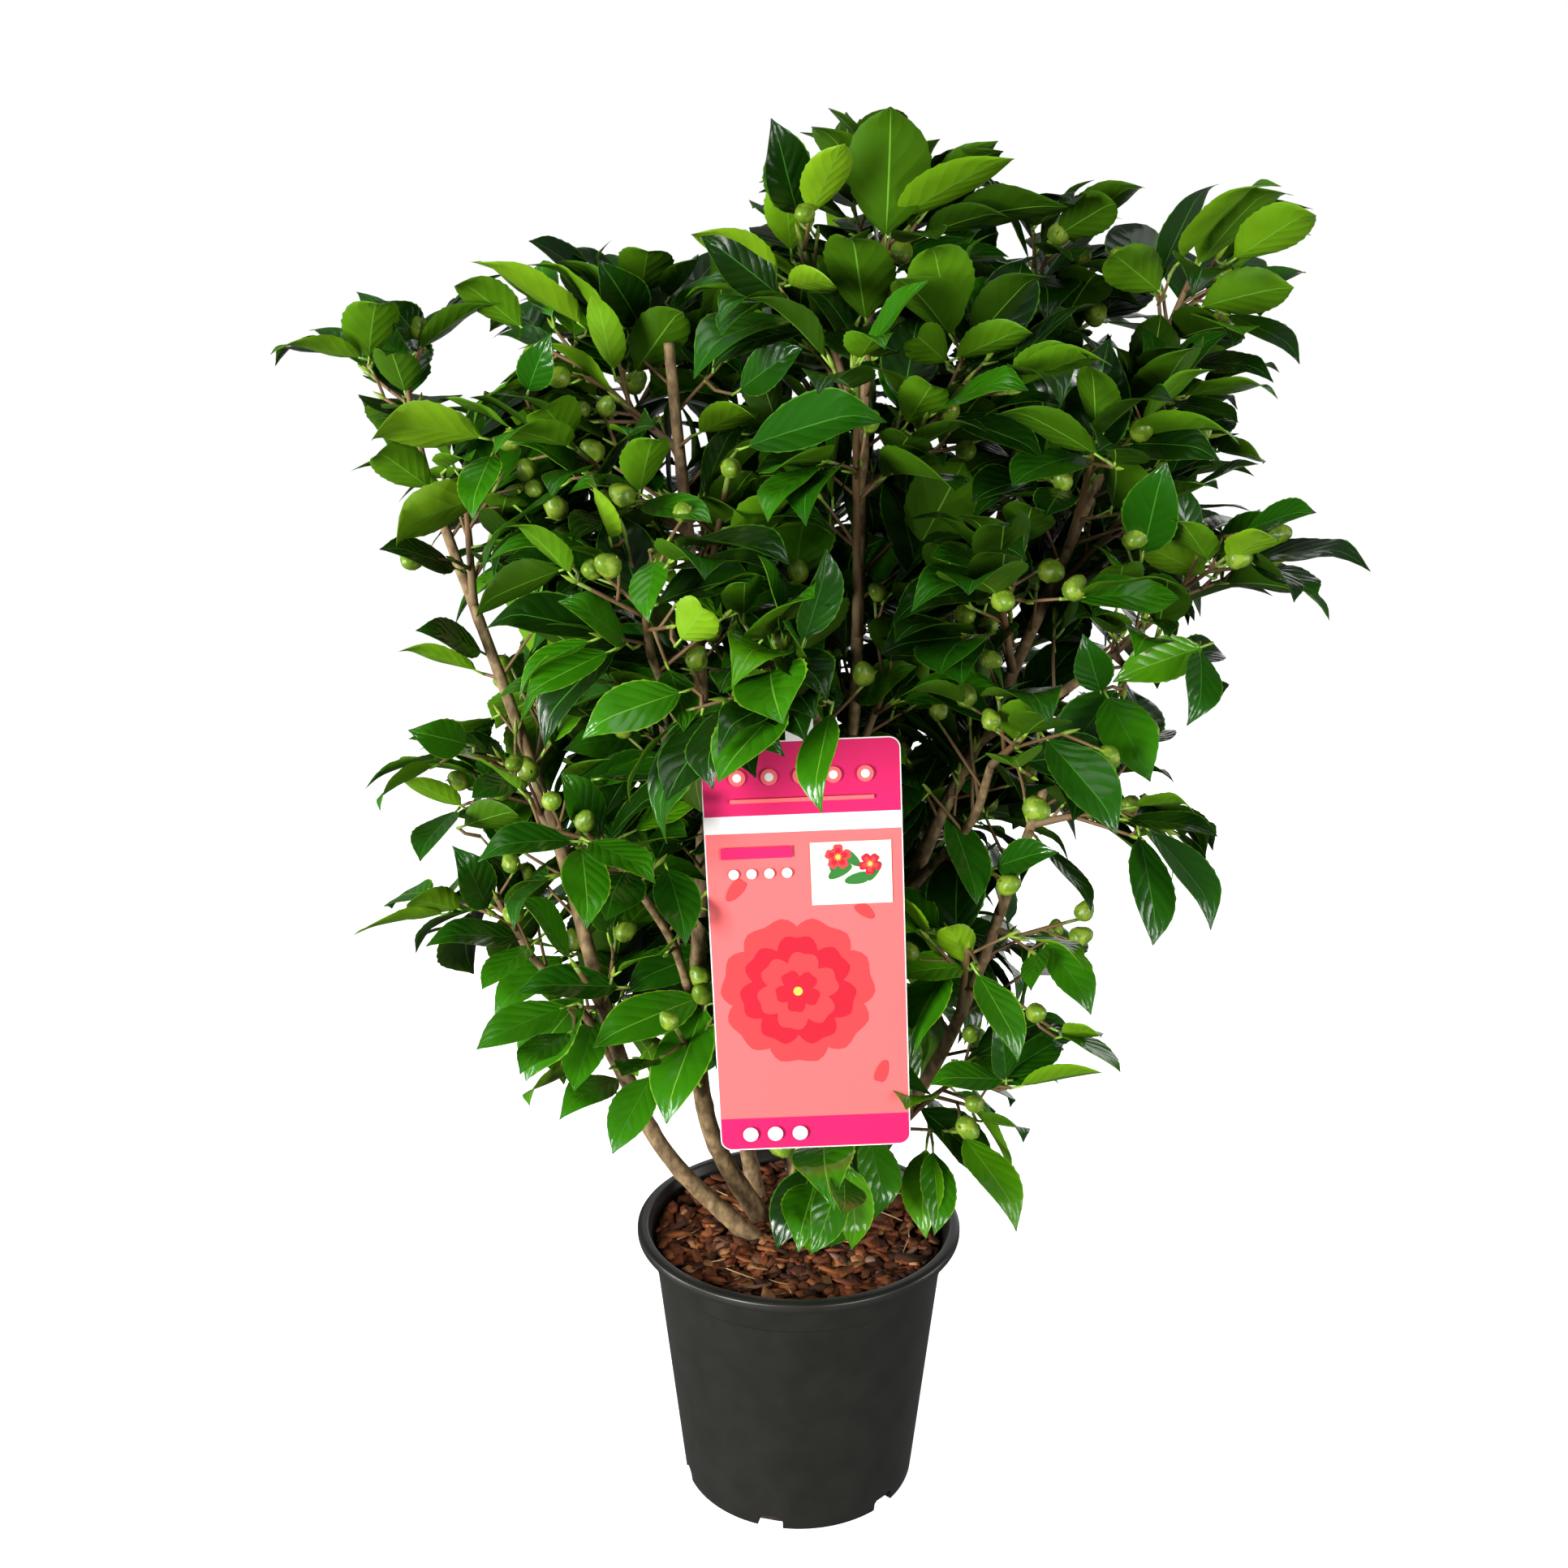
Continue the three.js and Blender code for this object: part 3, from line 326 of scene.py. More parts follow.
def ring_faces(rings, sides):
    """Triangles between rings of points and to a pole at each end; the two poles come after the rings."""
    near = np.arange(sides)
    far = (near + 1) % sides
    faces = []
    for start in range(0, (rings - 1) * sides, sides):
        a, b = near + start, far + start
        faces += [np.stack([a, b, b + sides], 1), np.stack([a, b + sides, a + sides], 1)]
    pole = np.full(sides, rings * sides)
    last = (rings - 1) * sides
    faces += [np.stack([pole, far, near], 1), np.stack([pole + 1, near + last, far + last], 1)]
    return np.concatenate(faces)


def tube(points, radii, sides):
    """A closed tube through points; a radius for each ring, or for each ring and side."""
    points = np.asarray(points, float)
    count = len(points)
    tangents = np.gradient(points, axis=0)
    tangents /= np.linalg.norm(tangents, axis=1, keepdims=True)
    first = sideways(tangents[0])[0]
    firsts = np.empty_like(points)
    for i, tangent in enumerate(tangents):
        first = unit(first - tangent * first.dot(tangent))
        firsts[i] = first
    seconds = np.cross(tangents, firsts)
    angles = circle(sides)
    radii = np.broadcast_to(np.asarray(radii, float).reshape(count, -1), (count, sides))
    outwards = np.cos(angles)[:, None] * firsts[:, None] + np.sin(angles)[:, None] * seconds[:, None]
    rings = points[:, None] + radii[..., None] * outwards
    vertices = np.concatenate([rings.reshape(-1, 3), points[:1], points[-1:]])
    return vertices, ring_faces(count, sides)


class Bundle:
    """Triangles of many small things that are joined into one piece."""

    def __init__(self):
        self.points, self.faces, self.looks, self.marks, self.count = [], [], [], [], 0

    def add(self, points, faces, look, marks=None):
        """Adds a thing; marks say where on a leaf's blade each of its points lies."""
        self.marks.append(np.zeros((len(points), 3)) if marks is None else marks)
        self.points.append(points)
        self.faces.append(np.asarray(faces) + self.count)
        self.looks.append(np.broadcast_to(look, len(faces)))
        self.count += len(points)

    def piece(self, name, materials, slot, nodes=(), smooth=True):
        points = np.concatenate(self.points) * MM
        faces = np.concatenate(self.faces).astype(np.int32)
        mesh = bpy.data.meshes.new(name)
        mesh.vertices.add(len(points))
        mesh.vertices.foreach_set("co", points.astype(np.float32).ravel())
        mesh.loops.add(faces.size)
        mesh.loops.foreach_set("vertex_index", faces.ravel())
        mesh.polygons.add(len(faces))
        mesh.polygons.foreach_set("loop_start", np.arange(0, faces.size, 3, dtype=np.int32))
        mesh.polygons.foreach_set("material_index", np.concatenate(self.looks).astype(np.int32))
        mesh.update(calc_edges=True)
        marks = np.concatenate(self.marks)
        if marks.any():
            mesh.attributes.new("blade", "FLOAT_VECTOR", "POINT").data.foreach_set("vector", marks.ravel())
        for material in materials:
            mesh.materials.append(material)
        if smooth:
            mesh.shade_smooth()
        return place(bpy.data.objects.new(name, mesh), nodes)


def place(piece, nodes=()):
    """Puts a piece in the scene, on the part's one body."""
    if piece.name not in bpy.context.scene.collection.objects:
        bpy.context.scene.collection.objects.link(piece)
    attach(piece, "root")
    if nodes:
        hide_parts(*nodes)
    return piece


# ---------------------------------------------------------------- materials
def plain(name, color, roughness, coat=0.0, coat_roughness=0.1, specular=0.5):
    material = bpy.data.materials.new(name)
    material.use_nodes = True
    shader = material.node_tree.nodes["Principled BSDF"]
    shader.inputs["Base Color"].default_value = (*color, 1)
    shader.inputs["Roughness"].default_value = roughness
    shader.inputs["Specular IOR Level"].default_value = specular
    shader.inputs["Coat Weight"].default_value = coat
    shader.inputs["Coat Roughness"].default_value = coat_roughness
    return material


def relieved(material, height, strength, distance):
    """Adds a relief to a material, from a result that gives the height; distance is in metres."""
    nodes, links = material.node_tree.nodes, material.node_tree.links
    relief = nodes.new("ShaderNodeBump")
    relief.inputs["Strength"].default_value = strength
    relief.inputs["Distance"].default_value = distance
    links.new(height, relief.inputs["Height"])
    links.new(relief.outputs["Normal"], nodes["Principled BSDF"].inputs["Normal"])
    return relief


def noise_over(material, scale, detail):
    """A noise over the piece's own coordinates; scale is per metre, the same or one for each axis."""
    nodes, links = material.node_tree.nodes, material.node_tree.links
    coords = nodes.new("ShaderNodeTexCoord")
    noise = nodes.new("ShaderNodeTexNoise")
    noise.inputs["Detail"].default_value = detail
    where = coords.outputs["Object"]
    if isinstance(scale, tuple):
        mapping = nodes.new("ShaderNodeMapping")
        mapping.inputs["Scale"].default_value = scale
        links.new(where, mapping.inputs["Vector"])
        where, scale = mapping.outputs["Vector"], 1
    noise.inputs["Scale"].default_value = scale
    links.new(where, noise.inputs["Vector"])
    return noise.outputs["Fac"]


QUILTED_DETAIL = 2.0


def quilted(material, scale, strength, distance):
    """Adds a fine uneven relief to a plain material."""
    relieved(material, noise_over(material, scale, QUILTED_DETAIL), strength, distance)
    return material


def worked(material, operation, *values):
    """A Math node's result from numbers and other results."""
    node = material.node_tree.nodes.new("ShaderNodeMath")
    node.operation = operation
    for socket, value in zip(node.inputs, values):
        if isinstance(value, (int, float)):
            socket.default_value = value
        else:
            material.node_tree.links.new(value, socket)
    return node.outputs[0]


VEINS = {"pairs": 6, "lean": 0.34}


def veined(material, distance, standing=False):
    """Adds a leaf's side veins under a quilted relief: grooves above, ridges below."""
    nodes, links = material.node_tree.nodes, material.node_tree.links
    quilt = nodes["Bump"]
    blade = nodes.new("ShaderNodeAttribute")
    blade.attribute_name = "blade"
    split = nodes.new("ShaderNodeSeparateXYZ")
    links.new(blade.outputs["Vector"], split.inputs["Vector"])
    aside = worked(material, "ABSOLUTE", split.outputs["Y"])
    along = worked(material, "MULTIPLY_ADD", aside, -VEINS["lean"], split.outputs["X"])
    turns = worked(material, "MULTIPLY", along, VEINS["pairs"] * math.pi)
    puffed = worked(material, "ABSOLUTE", worked(material, "SINE", turns))
    relief = relieved(material, puffed, 1, distance)
    relief.invert = standing
    links.new(relief.outputs["Normal"], quilt.inputs["Normal"])
    links.new(quilt.outputs["Normal"], nodes["Principled BSDF"].inputs["Normal"])
    return material


# The stops of a mottled colour lie in the middle of its noise's range.
MOTTLED_STOPS = (0.34, 0.66)


def mottled(name, colors, scale, roughness, bump, distance, detail=6.0):
    """A material whose colour runs through a few colours along a noise that also lifts it."""
    material = plain(name, colors[0], roughness)
    nodes, links = material.node_tree.nodes, material.node_tree.links
    noise = noise_over(material, scale, detail)
    ramp = nodes.new("ShaderNodeValToRGB")
    stops = ramp.color_ramp.elements
    while len(stops) < len(colors):
        stops.new(0.5)
    for i, color in enumerate(colors):
        stops[i].position = lerp(*MOTTLED_STOPS, i / (len(colors) - 1))
        stops[i].color = (*color, 1)
    links.new(noise, ramp.inputs["Fac"])
    links.new(ramp.outputs["Color"], nodes["Principled BSDF"].inputs["Base Color"])
    relieved(material, noise, bump, distance)
    return material


BARK_COLORS = [(0.1, 0.06, 0.026), (0.18, 0.115, 0.048), (0.28, 0.188, 0.085)]
BARK = mottled("bark", BARK_COLORS, (280, 280, 170), 0.8, 0.35, 0.0003)
CUT_WOOD = plain("cut_wood", (0.42, 0.28, 0.15), 0.8)
TWIG_RELIEF = (500, 0.5, 0.0004)
TWIG_OLD = quilted(plain("twig_old", (0.17, 0.11, 0.05), 0.75), *TWIG_RELIEF)
TWIG_RED = quilted(plain("twig_red", (0.145, 0.08, 0.028), 0.65), *TWIG_RELIEF)
TWIG_GREEN = quilted(plain("twig_green", (0.14, 0.2, 0.03), 0.5), *TWIG_RELIEF)
TWIG_LOOKS = [TWIG_OLD, TWIG_RED, TWIG_GREEN]

# ---------------------------------------------------------------- limbs
limbs = {}


def limb_knots(at, bends, tip):
    if isinstance(at[0], str):
        return [limbs[at[0]]["curve"].at(at[1]), *bends, tip]
    foot = np.array([*at, SOIL["level"]], float)
    below = foot + unit(foot - np.array(bends[0])) * STEM_UNDER_SOIL
    return [below, foot, *bends, tip]


def limb_radius(radii, is_stem, share, length):
    flare = FLARE * np.exp(-share * length / FLARE_LENGTH) if is_stem else 0
    return lerp(radii[0], radii[1], share**LIMB_TAPER) * (1 + flare)


for limb_name, at, bends, tip, radii in LIMBS:
    curve = Curve(catmull_rom(limb_knots(at, bends, tip)))
    limbs[limb_name] = {"curve": curve, "radii": radii, "is_stem": not isinstance(at[0], str)}

BARK_RING = 2.4
BARK_SIDES = 22
BARK_NODES = {"spacing": 34, "scatter": 9, "height": 0.35, "width": 3.5}
BARK_SINK = 0.15


def bark_relief(share, length, angles, number):
    """Height of the bark over a limb's smooth radius: long fissures, plates, and swollen old leaf nodes."""
    s = (share * length)[:, None]
    wander = 0.9 * np.sin(s / 31 + number) + 0.5 * np.sin(s / 13 + 2 * number)
    fissures = 0.1 * np.abs(np.sin(3 * (angles + 0.2 * wander) + number))
    fissures += 0.05 * np.sin(7 * angles + 0.6 * wander + 3 * number)
    plates = 0.022 * np.sin(s / 4.3 + 2.2 * np.sin(2 * angles + number)) * np.sin(3 * angles + s / 23)
    lumps = 0.24 * np.sin(s / 27 + number) * np.sin(angles + s / 60 + number)
    nodes = 0
    for i in range(1, int(length / BARK_NODES["spacing"])):
        middle = i * BARK_NODES["spacing"] + BARK_NODES["scatter"] * math.sin(7 * i + number)
        swelling = BARK_NODES["height"] * np.exp(-(((s - middle) / BARK_NODES["width"]) ** 2))
        nodes = nodes + swelling * (1 + 0.8 * np.cos(angles - GOLDEN_ANGLE * i - number))
    return fissures + plates + lumps + nodes - BARK_SINK


# A bough swells where it leaves its stem.
JOINT_SWELLING = {"share": 0.5, "length": 7}
bark = Bundle()
for number, (limb_name, at, bends, tip, radii) in enumerate(LIMBS):
    limb = limbs[limb_name]
    curve, is_stem = limb["curve"], limb["is_stem"]
    rings = max(8, round(curve.length / BARK_RING))
    share = np.linspace(0, 1, rings + 1)
    radius = limb_radius(radii, is_stem, share, curve.length)[:, None]
    relief = bark_relief(share, curve.length, circle(BARK_SIDES), number) * np.clip(radius / 5, 0.35, 1.1)
    if not is_stem:
        swelling = np.exp(-share * curve.length / JOINT_SWELLING["length"])[:, None]
        radius = radius * (1 + JOINT_SWELLING["share"] * swelling)
    points, faces = tube(curve.at(share), radius + relief, BARK_SIDES)
    look = np.zeros(len(faces), int)
    look[-BARK_SIDES:] = 1
    bark.add(points, faces, look)
bark.piece("bark_limbs", [BARK, CUT_WOOD], "bark", [row[0] for row in LIMBS])

# ---------------------------------------------------------------- shoots and the room they have
# A shoot keeps a little room round itself, from its foot to its tip.
ROOM_RADII = (2.2, 1.2)
spheres = []


def add_spheres(curve, radius_at, owner, start=0.0):
    shares = np.linspace(start, 1, math.ceil(curve.length / SPHERE_STEP) + 1)
    for share, point in zip(shares, curve.at(shares)):
        spheres.append((*point, radius_at(share), owner))


def shoot_curve(on, reach):
    """The main shoot of a mass: it arches up high in the crown, and down near its foot."""
    curve = limbs[on[0]]["curve"]
    root, end = curve.at(on[1]), np.array(reach, float)
    span = np.linalg.norm(end - root)
    height = clamp((root[2] - CROWN[0]) / (CROWN[1] - CROWN[0]) * 2 - 1, -1, 1)
    middle = (root + end) / 2 - UP * height * SHOOT["arch"] * span
    t = np.linspace(0, 1, 61)[:, None]
    return Curve((1 - t) ** 2 * root + 2 * t * (1 - t) * middle + t**2 * end)


for number, limb in enumerate(limbs.values()):
    length = limb["curve"].length
    add_spheres(limb["curve"], lambda s: limb_radius(limb["radii"], limb["is_stem"], s, length), -1 - number)
shoots = [shoot_curve(on, reach) for _, on, reach in MASSES]
for owner, curve in enumerate(shoots):
    add_spheres(curve, lambda s: lerp(*ROOM_RADII, s), owner, 0.1)
spheres = np.array(spheres)
sites = np.array([curve.at(SHOOT["site"]) for curve in shoots])

front = limbs["bough_front"]["curve"]
eye_share = next(s for s in np.arange(0, 1, 0.001) if front.at(s)[1] <= LABEL["y"])
eye = front.at(eye_share)
eye[2] += limb_radius(limbs["bough_front"]["radii"], False, eye_share, front.length) + GAP - EYE_INNER
LOWEST = np.array(cad_box[0]) / MM
HIGHEST = np.array(cad_box[1]) / MM
BOX_SPARE = 6


def space_borders(mass):
    """The planes halfway to every other mass's site."""
    others = np.delete(sites, mass, axis=0)
    normals = others - sites[mass]
    normals /= np.linalg.norm(normals, axis=1, keepdims=True)
    return normals.T, ((others + sites[mass]) / 2 * normals).sum(1) - GAP


BORDERS = [space_borders(mass) for mass in range(len(MASSES))]


def in_own_space(points, mass, spare=0.0):
    """Whether points lie nearer to their mass's site than to any other, give or take."""
    if mass < 0:
        return True
    normals, borders = BORDERS[mass]
    return np.all(points @ normals < borders + spare)


def clear_of_limbs(points, mass, clearance):
    away = ((spheres[:, :3] - points.mean(0)) ** 2).sum(1)
    near = spheres[(away < SPHERE_REACH**2) & (spheres[:, 4] != mass)]
    if not len(near):
        return True
    apart = np.linalg.norm(points[:, None] - near[None, :, :3], axis=2)
    return not np.any(apart < near[:, 3] + clearance)


def clear_of_card_and_pot(points, clearance):
    middle = eye[2] - LABEL["strap"] - LABEL["height"] / 2
    tall = LABEL["height"] / 2 + LABEL["strap"] + clearance
    wide = LABEL["width"] / 2 + 2 * clearance
    x, y, z = points.T
    on_card = (abs(y - LABEL["y"]) <= clearance) & (abs(x - eye[0]) <= wide) & (abs(z - middle) <= tall)
    return not np.any(on_card | (z <= POT["height"] + clearance))


def inside_box(points):
    return np.all(points > LOWEST - BOX_SPARE) and np.all(points < HIGHEST + BOX_SPARE)


# The crown is open in front of some bare stretches of limb and most flower buds, seen from the front.
VIEWER = np.array([-8.6, -866.0, 632.0])
BARE = (
    ("stem_centre", 0.44, 0.56), ("stem_centre", 0.62, 0.93), ("stem_right", 0.46, 0.62),
    ("stem_right", 0.7, 0.9), ("stem_left_low", 0.42, 0.74), ("stem_left", 0.66, 0.74),
    ("stem_left", 0.84, 1), ("stem_left_low", 0.02, 0.2), ("stem_left", 0.02, 0.2),
    ("stem_right_low", 0.5, 0.8),
)
BARE_STEP = 7
BARE_WIDTH = 5
open_points = []
for limb_name, low, high in BARE:
    curve = limbs[limb_name]["curve"]
    steps = math.ceil(curve.length * (high - low) / BARE_STEP)
    open_points += [(*point, BARE_WIDTH) for point in curve.at(np.linspace(low, high, steps))]


def crosses_sight(points, targets, radii, past):
    """Whether points come within a radius of the lines of sight to targets, up to a depth past them."""
    rays = targets - VIEWER
    reach = np.linalg.norm(rays, axis=1)
    offsets = points - VIEWER
    along = offsets @ (rays / reach[:, None]).T
    apart = (offsets**2).sum(1)[:, None] - along**2
    return np.any((apart < (radii * along / reach) ** 2) & (along < reach + past))


SKY_SPARE = 2.0
SKY_DEPTH = 1000
SKY_TARGETS = np.array([(x, 0, z) for x, z, _ in SKY], float)
SKY_RADII = np.array([radius for _, _, radius in SKY]) - SKY_SPARE


def clear_of_sky(points):
    return not crosses_sight(points, SKY_TARGETS, SKY_RADII, SKY_DEPTH)


CARD_EDGE = 6
CARD_SIDE = 4


def leaves_card_open(points):
    """Whether points stay out of the room in front of the card, but for its edges."""
    x, y, z = points.T
    high = eye[2] - LABEL["strap"] - CARD_EDGE
    low = high - LABEL["height"] + 2 * CARD_EDGE
    in_front = (y < LABEL["y"] + CARD_EDGE) & (abs(x - eye[0]) < LABEL["width"] / 2 - CARD_SIDE)
    return not np.any(in_front & (z < high) & (z > low))


# ---------------------------------------------------------------- twigs
# Each mass has the part's main shoot and side twigs, and finer twigs between them and on them.
FINE_SHARES = (0.2, 0.37, 0.53, 0.71, 0.9)
FINE_LENGTH = 30
SPUR_SHARES = (0.42, 0.72)
SPUR_LENGTH = 19
# Finer twigs come closer to others, and reach a little into the next mass's space.
FINE_CLEARANCE = 3
FINE_SPARE = 10
SPUR_SPARE = 12
FINE_SEED = 40009


def twig_end(start, along, length, leafy, order, on=None):
    """A straight end; on is what carries it, and the share of its length where it does."""
    end = {"start": start, "tip": start + along * length, "along": along, "length": length}
    return {**end, "leafy": leafy, "order": order, "on": on, "reach": 0, "bud": None}


def keep_twig(end, share=1.0):
    """Keeps a twig as far as a share of its length, and what carries it."""
    end["reach"] = max(end["reach"], share)
    if end["on"]:
        keep_twig(*end["on"])


def twig_fits(end, mass, spare):
    samples = np.array([lerp(end["start"], end["tip"], s) for s in (0.4, 0.6, 0.8, 1)])
    clearance = FINE_CLEARANCE if spare else SHOOT["clearance"]
    return (
        in_own_space(end["tip"][None] + end["along"] * SHOOT["tip_spare"], mass, spare)
        and clear_of_limbs(samples, mass, clearance)
        and clear_of_card_and_pot(samples, clearance)
        and clear_of_sky(samples)
    )


def grow_ends(curve, mass):
    """The straight ends that a mass's leaves sit on."""
    tip = curve.at(1.0)
    outward = unit(tip * (1, 1, 0))
    seed = SEED + MASS_SEEDS * mass
    first_azimuth = random_from(seed)() * 2 * math.pi
    along = curve.tangent(1.0)
    main = twig_end(tip - along * curve.length, along, curve.length, curve.length * SHOOT["leafy"], 0)
    ends = [{**main, "tip": tip, "curve": curve}]
    main = ends[0]

    def side_twig(share, azimuth, length, order, spare):
        along = turned(curve.tangent(share), azimuth, SHOOT["angle"])
        along = unit(along + UP * SHOOT["lift"] + outward * SHOOT["spread"])
        end = twig_end(curve.at(share), along, length, length - 8, order, (main, share))
        if twig_fits(end, mass, spare):
            ends.append(end)

    for i, share in enumerate(SHOOT["shares"]):
        random = random_from(seed + TWIG_SEEDS * (i + 1))
        scale = lerp(*SHOOT["scale"], share) * lerp(*SHOOT["jitter"], random())
        side_twig(share, first_azimuth + i * GOLDEN_ANGLE, SHOOT["length"] * scale, 1, 0)
    random = random_from(seed + FINE_SEED)
    for i, share in enumerate(FINE_SHARES):
        azimuth = first_azimuth + (i + 0.5) * GOLDEN_ANGLE + math.pi
        side_twig(share, azimuth, FINE_LENGTH * lerp(*SHOOT["jitter"], random()), 2, FINE_SPARE)
    for parent in [end for end in ends if end["order"] == 1]:
        for i, share in enumerate(SPUR_SHARES):
            azimuth = random() * 2 * math.pi + i * GOLDEN_ANGLE
            along = unit(turned(parent["along"], azimuth, SHOOT["angle"]) + UP * SHOOT["lift"])
            length = SPUR_LENGTH * lerp(*SHOOT["jitter"], random())
            start = lerp(parent["start"], parent["tip"], share)
            spur = twig_end(start, along, length, length - 4, 3, (parent, share))
            if twig_fits(spur, mass, SPUR_SPARE):
                ends.append(spur)
    return ends


# Short spurs that fill the crown close to the limbs.
INNER = {
    "from": 0.3, "to": 0.98, "step": 13, "length": 44, "scale": (0.7, 1.3), "lowest": 250,
    "angle": math.radians(62),
}


def grow_inner(limb_name, number):
    """Leafy spurs along one limb, on the owner number of that limb."""
    limb = limbs[limb_name]
    curve = limb["curve"]
    random = random_from(SEED + FINE_SEED + 13 * number)
    ends = []
    for share in np.arange(INNER["from"], INNER["to"], INNER["step"] / curve.length):
        azimuth, scale = random() * 2 * math.pi, lerp(*INNER["scale"], random())
        start = curve.at(share)
        if start[2] < INNER["lowest"]:
            continue
        along = unit(turned(curve.tangent(share), azimuth, INNER["angle"]) + UP * SHOOT["lift"])
        length = INNER["length"] * scale
        end = twig_end(start, along, length, length - 6, 2)
        if twig_fits(end, -1 - number, SPUR_SPARE):
            ends.append(end)
    return ends


TWIG_RADII = {0: (2.3, 1.25), 1: (1.2, 0.95), 2: (1.05, 0.85), 3: (0.95, 0.75)}
TWIG_SIDES = 6
TWIG_BOW = 0.7


def twig_line(end, reach=1.0):
    """Shares along a twig, up to one of them, and its points there."""
    if end["order"] == 0:
        share = np.linspace(0, reach, max(6, round(end["length"] / 5)) + 1)
        return share, end["curve"].at(share)
    share = np.linspace(0, reach, 6)
    bend = sideways(end["along"])[0] * np.sin(share * math.pi)[:, None] * TWIG_BOW
    return share, end["start"] + (end["tip"] - end["start"]) * share[:, None] + bend


all_ends = [(mass, grow_ends(curve, mass)) for mass, curve in enumerate(shoots)]
all_ends += [(-1 - number, grow_inner(name, number)) for number, name in enumerate(limbs)]

# ---------------------------------------------------------------- buds
BUD = {
    "share": 0.17, "shown": 0.13, "radius": 5.8, "scale": (0.8, 1.1), "seat": 0.9, "out": 0.9, "around": 24,
    "rings": 15, "front": -10, "spur_share": 0.2, "blush_from": 0.8, "step": 0.09, "girth": (1.08, 0.92),
    "foot": 0.96, "peak": 1.36, "point": 1.38, "blush_rings": 0.8,
}
LEAF_BUD = {
    "length": 9, "scale": (0.8, 1.25), "shares": (0, 0.3, 0.6, 0.85, 1), "radii": (0.9, 1.35, 1.05, 0.5, 0.1),
}
BUD_LOOKS = [
    plain("bud_green", (0.11, 0.2, 0.012), 0.35, specular=0.35),
    plain("bud_pale", (0.19, 0.28, 0.022), 0.38, specular=0.35),
    plain("bud_blush", (0.42, 0.19, 0.1), 0.45, 0.2, 0.2),
]
PALE, BLUSH = 1, 2


def flower_bud(centre, along, radius, phase, blush):
    """An egg-shaped bud under overlapping scales, three to a tier."""
    around, rings = BUD["around"], BUD["rings"]
    first, second = sideways(along)
    angles = circle(around)
    points, tiers = [], []
    for ring in range(1, rings):
        polar = math.pi * ring / rings
        toward_tip = (1 - math.cos(polar)) / 2
        tier = 3 - 3 * toward_tip + 0.38 * np.cos(3 * angles + phase)
        tiers.append(tier.astype(int) % 2)
        radial = radius * math.sin(polar) * (lerp(*BUD["girth"], toward_tip) - BUD["step"] * (tier % 1))
        height = -radius * math.cos(polar) * lerp(BUD["foot"], BUD["peak"], clamp(2 * toward_tip - 0.8, 0, 1))
        points.append(
            centre
            + along * height
            + first * (np.cos(angles) * radial)[:, None]
            + second * (np.sin(angles) * radial)[:, None]
        )
    poles = [centre - along * radius * BUD["foot"], centre + along * radius * BUD["point"]]
    points = np.concatenate([*points, poles])
    looks = []
    for ring, tier in enumerate(tiers[:-1]):
        look = np.full(around, BLUSH) if blush and ring > rings * BUD["blush_rings"] else tier
        looks += [look, look]
    looks += [np.zeros(around, int), np.full(around, BLUSH if blush else PALE)]
    return points, ring_faces(rings - 1, around), np.concatenate(looks)


def leaf_bud(base, along, length):
    share = np.array(LEAF_BUD["shares"])
    return tube(base + along * (share * length)[:, None], LEAF_BUD["radii"], 6)


buds = Bundle()
BUD_OWNER = 1000
BUD_OFF_LIMBS, BUD_OFF_CARD = 0.5, 1
bud_spheres = []
for mass, ends in all_ends:
    random = random_from(SEED + 31 * mass + 5)
    for end in ends:
        draw, tilt, size, phase, blush = [random() for _ in range(5)]
        if end["order"] == 3 and draw > BUD["spur_share"]:
            continue
        end["bud"] = LEAF_BUD["length"] * lerp(*LEAF_BUD["scale"], size)
        if draw > BUD["share"]:
            continue
        radius = BUD["radius"] * lerp(*BUD["scale"], size)
        out = unit(turned(end["along"], tilt * 2 * math.pi, BUD["out"]))
        centre = end["tip"] + out * radius * BUD["seat"]
        samples = centre + radius * np.array([out, -out, UP, -UP, end["along"]])
        free = clear_of_limbs(samples, mass, BUD_OFF_LIMBS) and clear_of_card_and_pot(samples, BUD_OFF_CARD)
        if free and inside_box(samples):
            buds.add(*flower_bud(centre, out, radius, phase * 6, blush > BUD["blush_from"]))
            keep_twig(end)
            bud_spheres.append((*centre, radius, BUD_OWNER))
            if centre[1] < BUD["front"] and draw < BUD["shown"]:
                open_points.append((*centre, radius * 0.8))
spheres = np.concatenate([spheres, bud_spheres])

# ---------------------------------------------------------------- leaves
LEAF = {
    "length": 66, "petiole": 7, "width": 0.6, "fold": 0.2, "droop": 0.15, "thick": 0.5,
    "size": (0.78, 1.12), "angle_jitter": 30, "turn_jitter": 1.3, "space": 18, "apart": 2.1, "upright": 0.72,
}
# The two youngest leaves of an end are smaller.
YOUNG_SIZES = {0: 0.78, 1: 0.92}
# Distance of each leaf's node from its twig's tip, and its angle to the twig in degrees.
NODES = {
    0: ((2, 30), (5, 38), (10, 48), (16, 55), (23, 60), (31, 64), (40, 68), (50, 70), (61, 72)),
    1: ((1.5, 32), (5, 42), (10, 50), (16, 58), (23, 64), (31, 68)),
    2: ((1.5, 34), (5, 46), (11, 56), (18, 64)),
    3: ((1, 36), (4, 50), (9, 62)),
}
WIDTH_AT = ((0, 0.05), (0.05, 0.22), (0.14, 0.56), (0.3, 0.89), (0.46, 1), (0.6, 0.97), (0.74, 0.8),
            (0.85, 0.53), (0.92, 0.28), (0.97, 0.1), (1, 0.02))
STATIONS = (0, 0.06, 0.14, 0.23, 0.33, 0.43, 0.53, 0.63, 0.73, 0.82, 0.9, 0.96, 1)
COLUMNS = (-0.97, -0.5, -0.025, 0.025, 0.5, 0.97)
TOOTH = 1.04
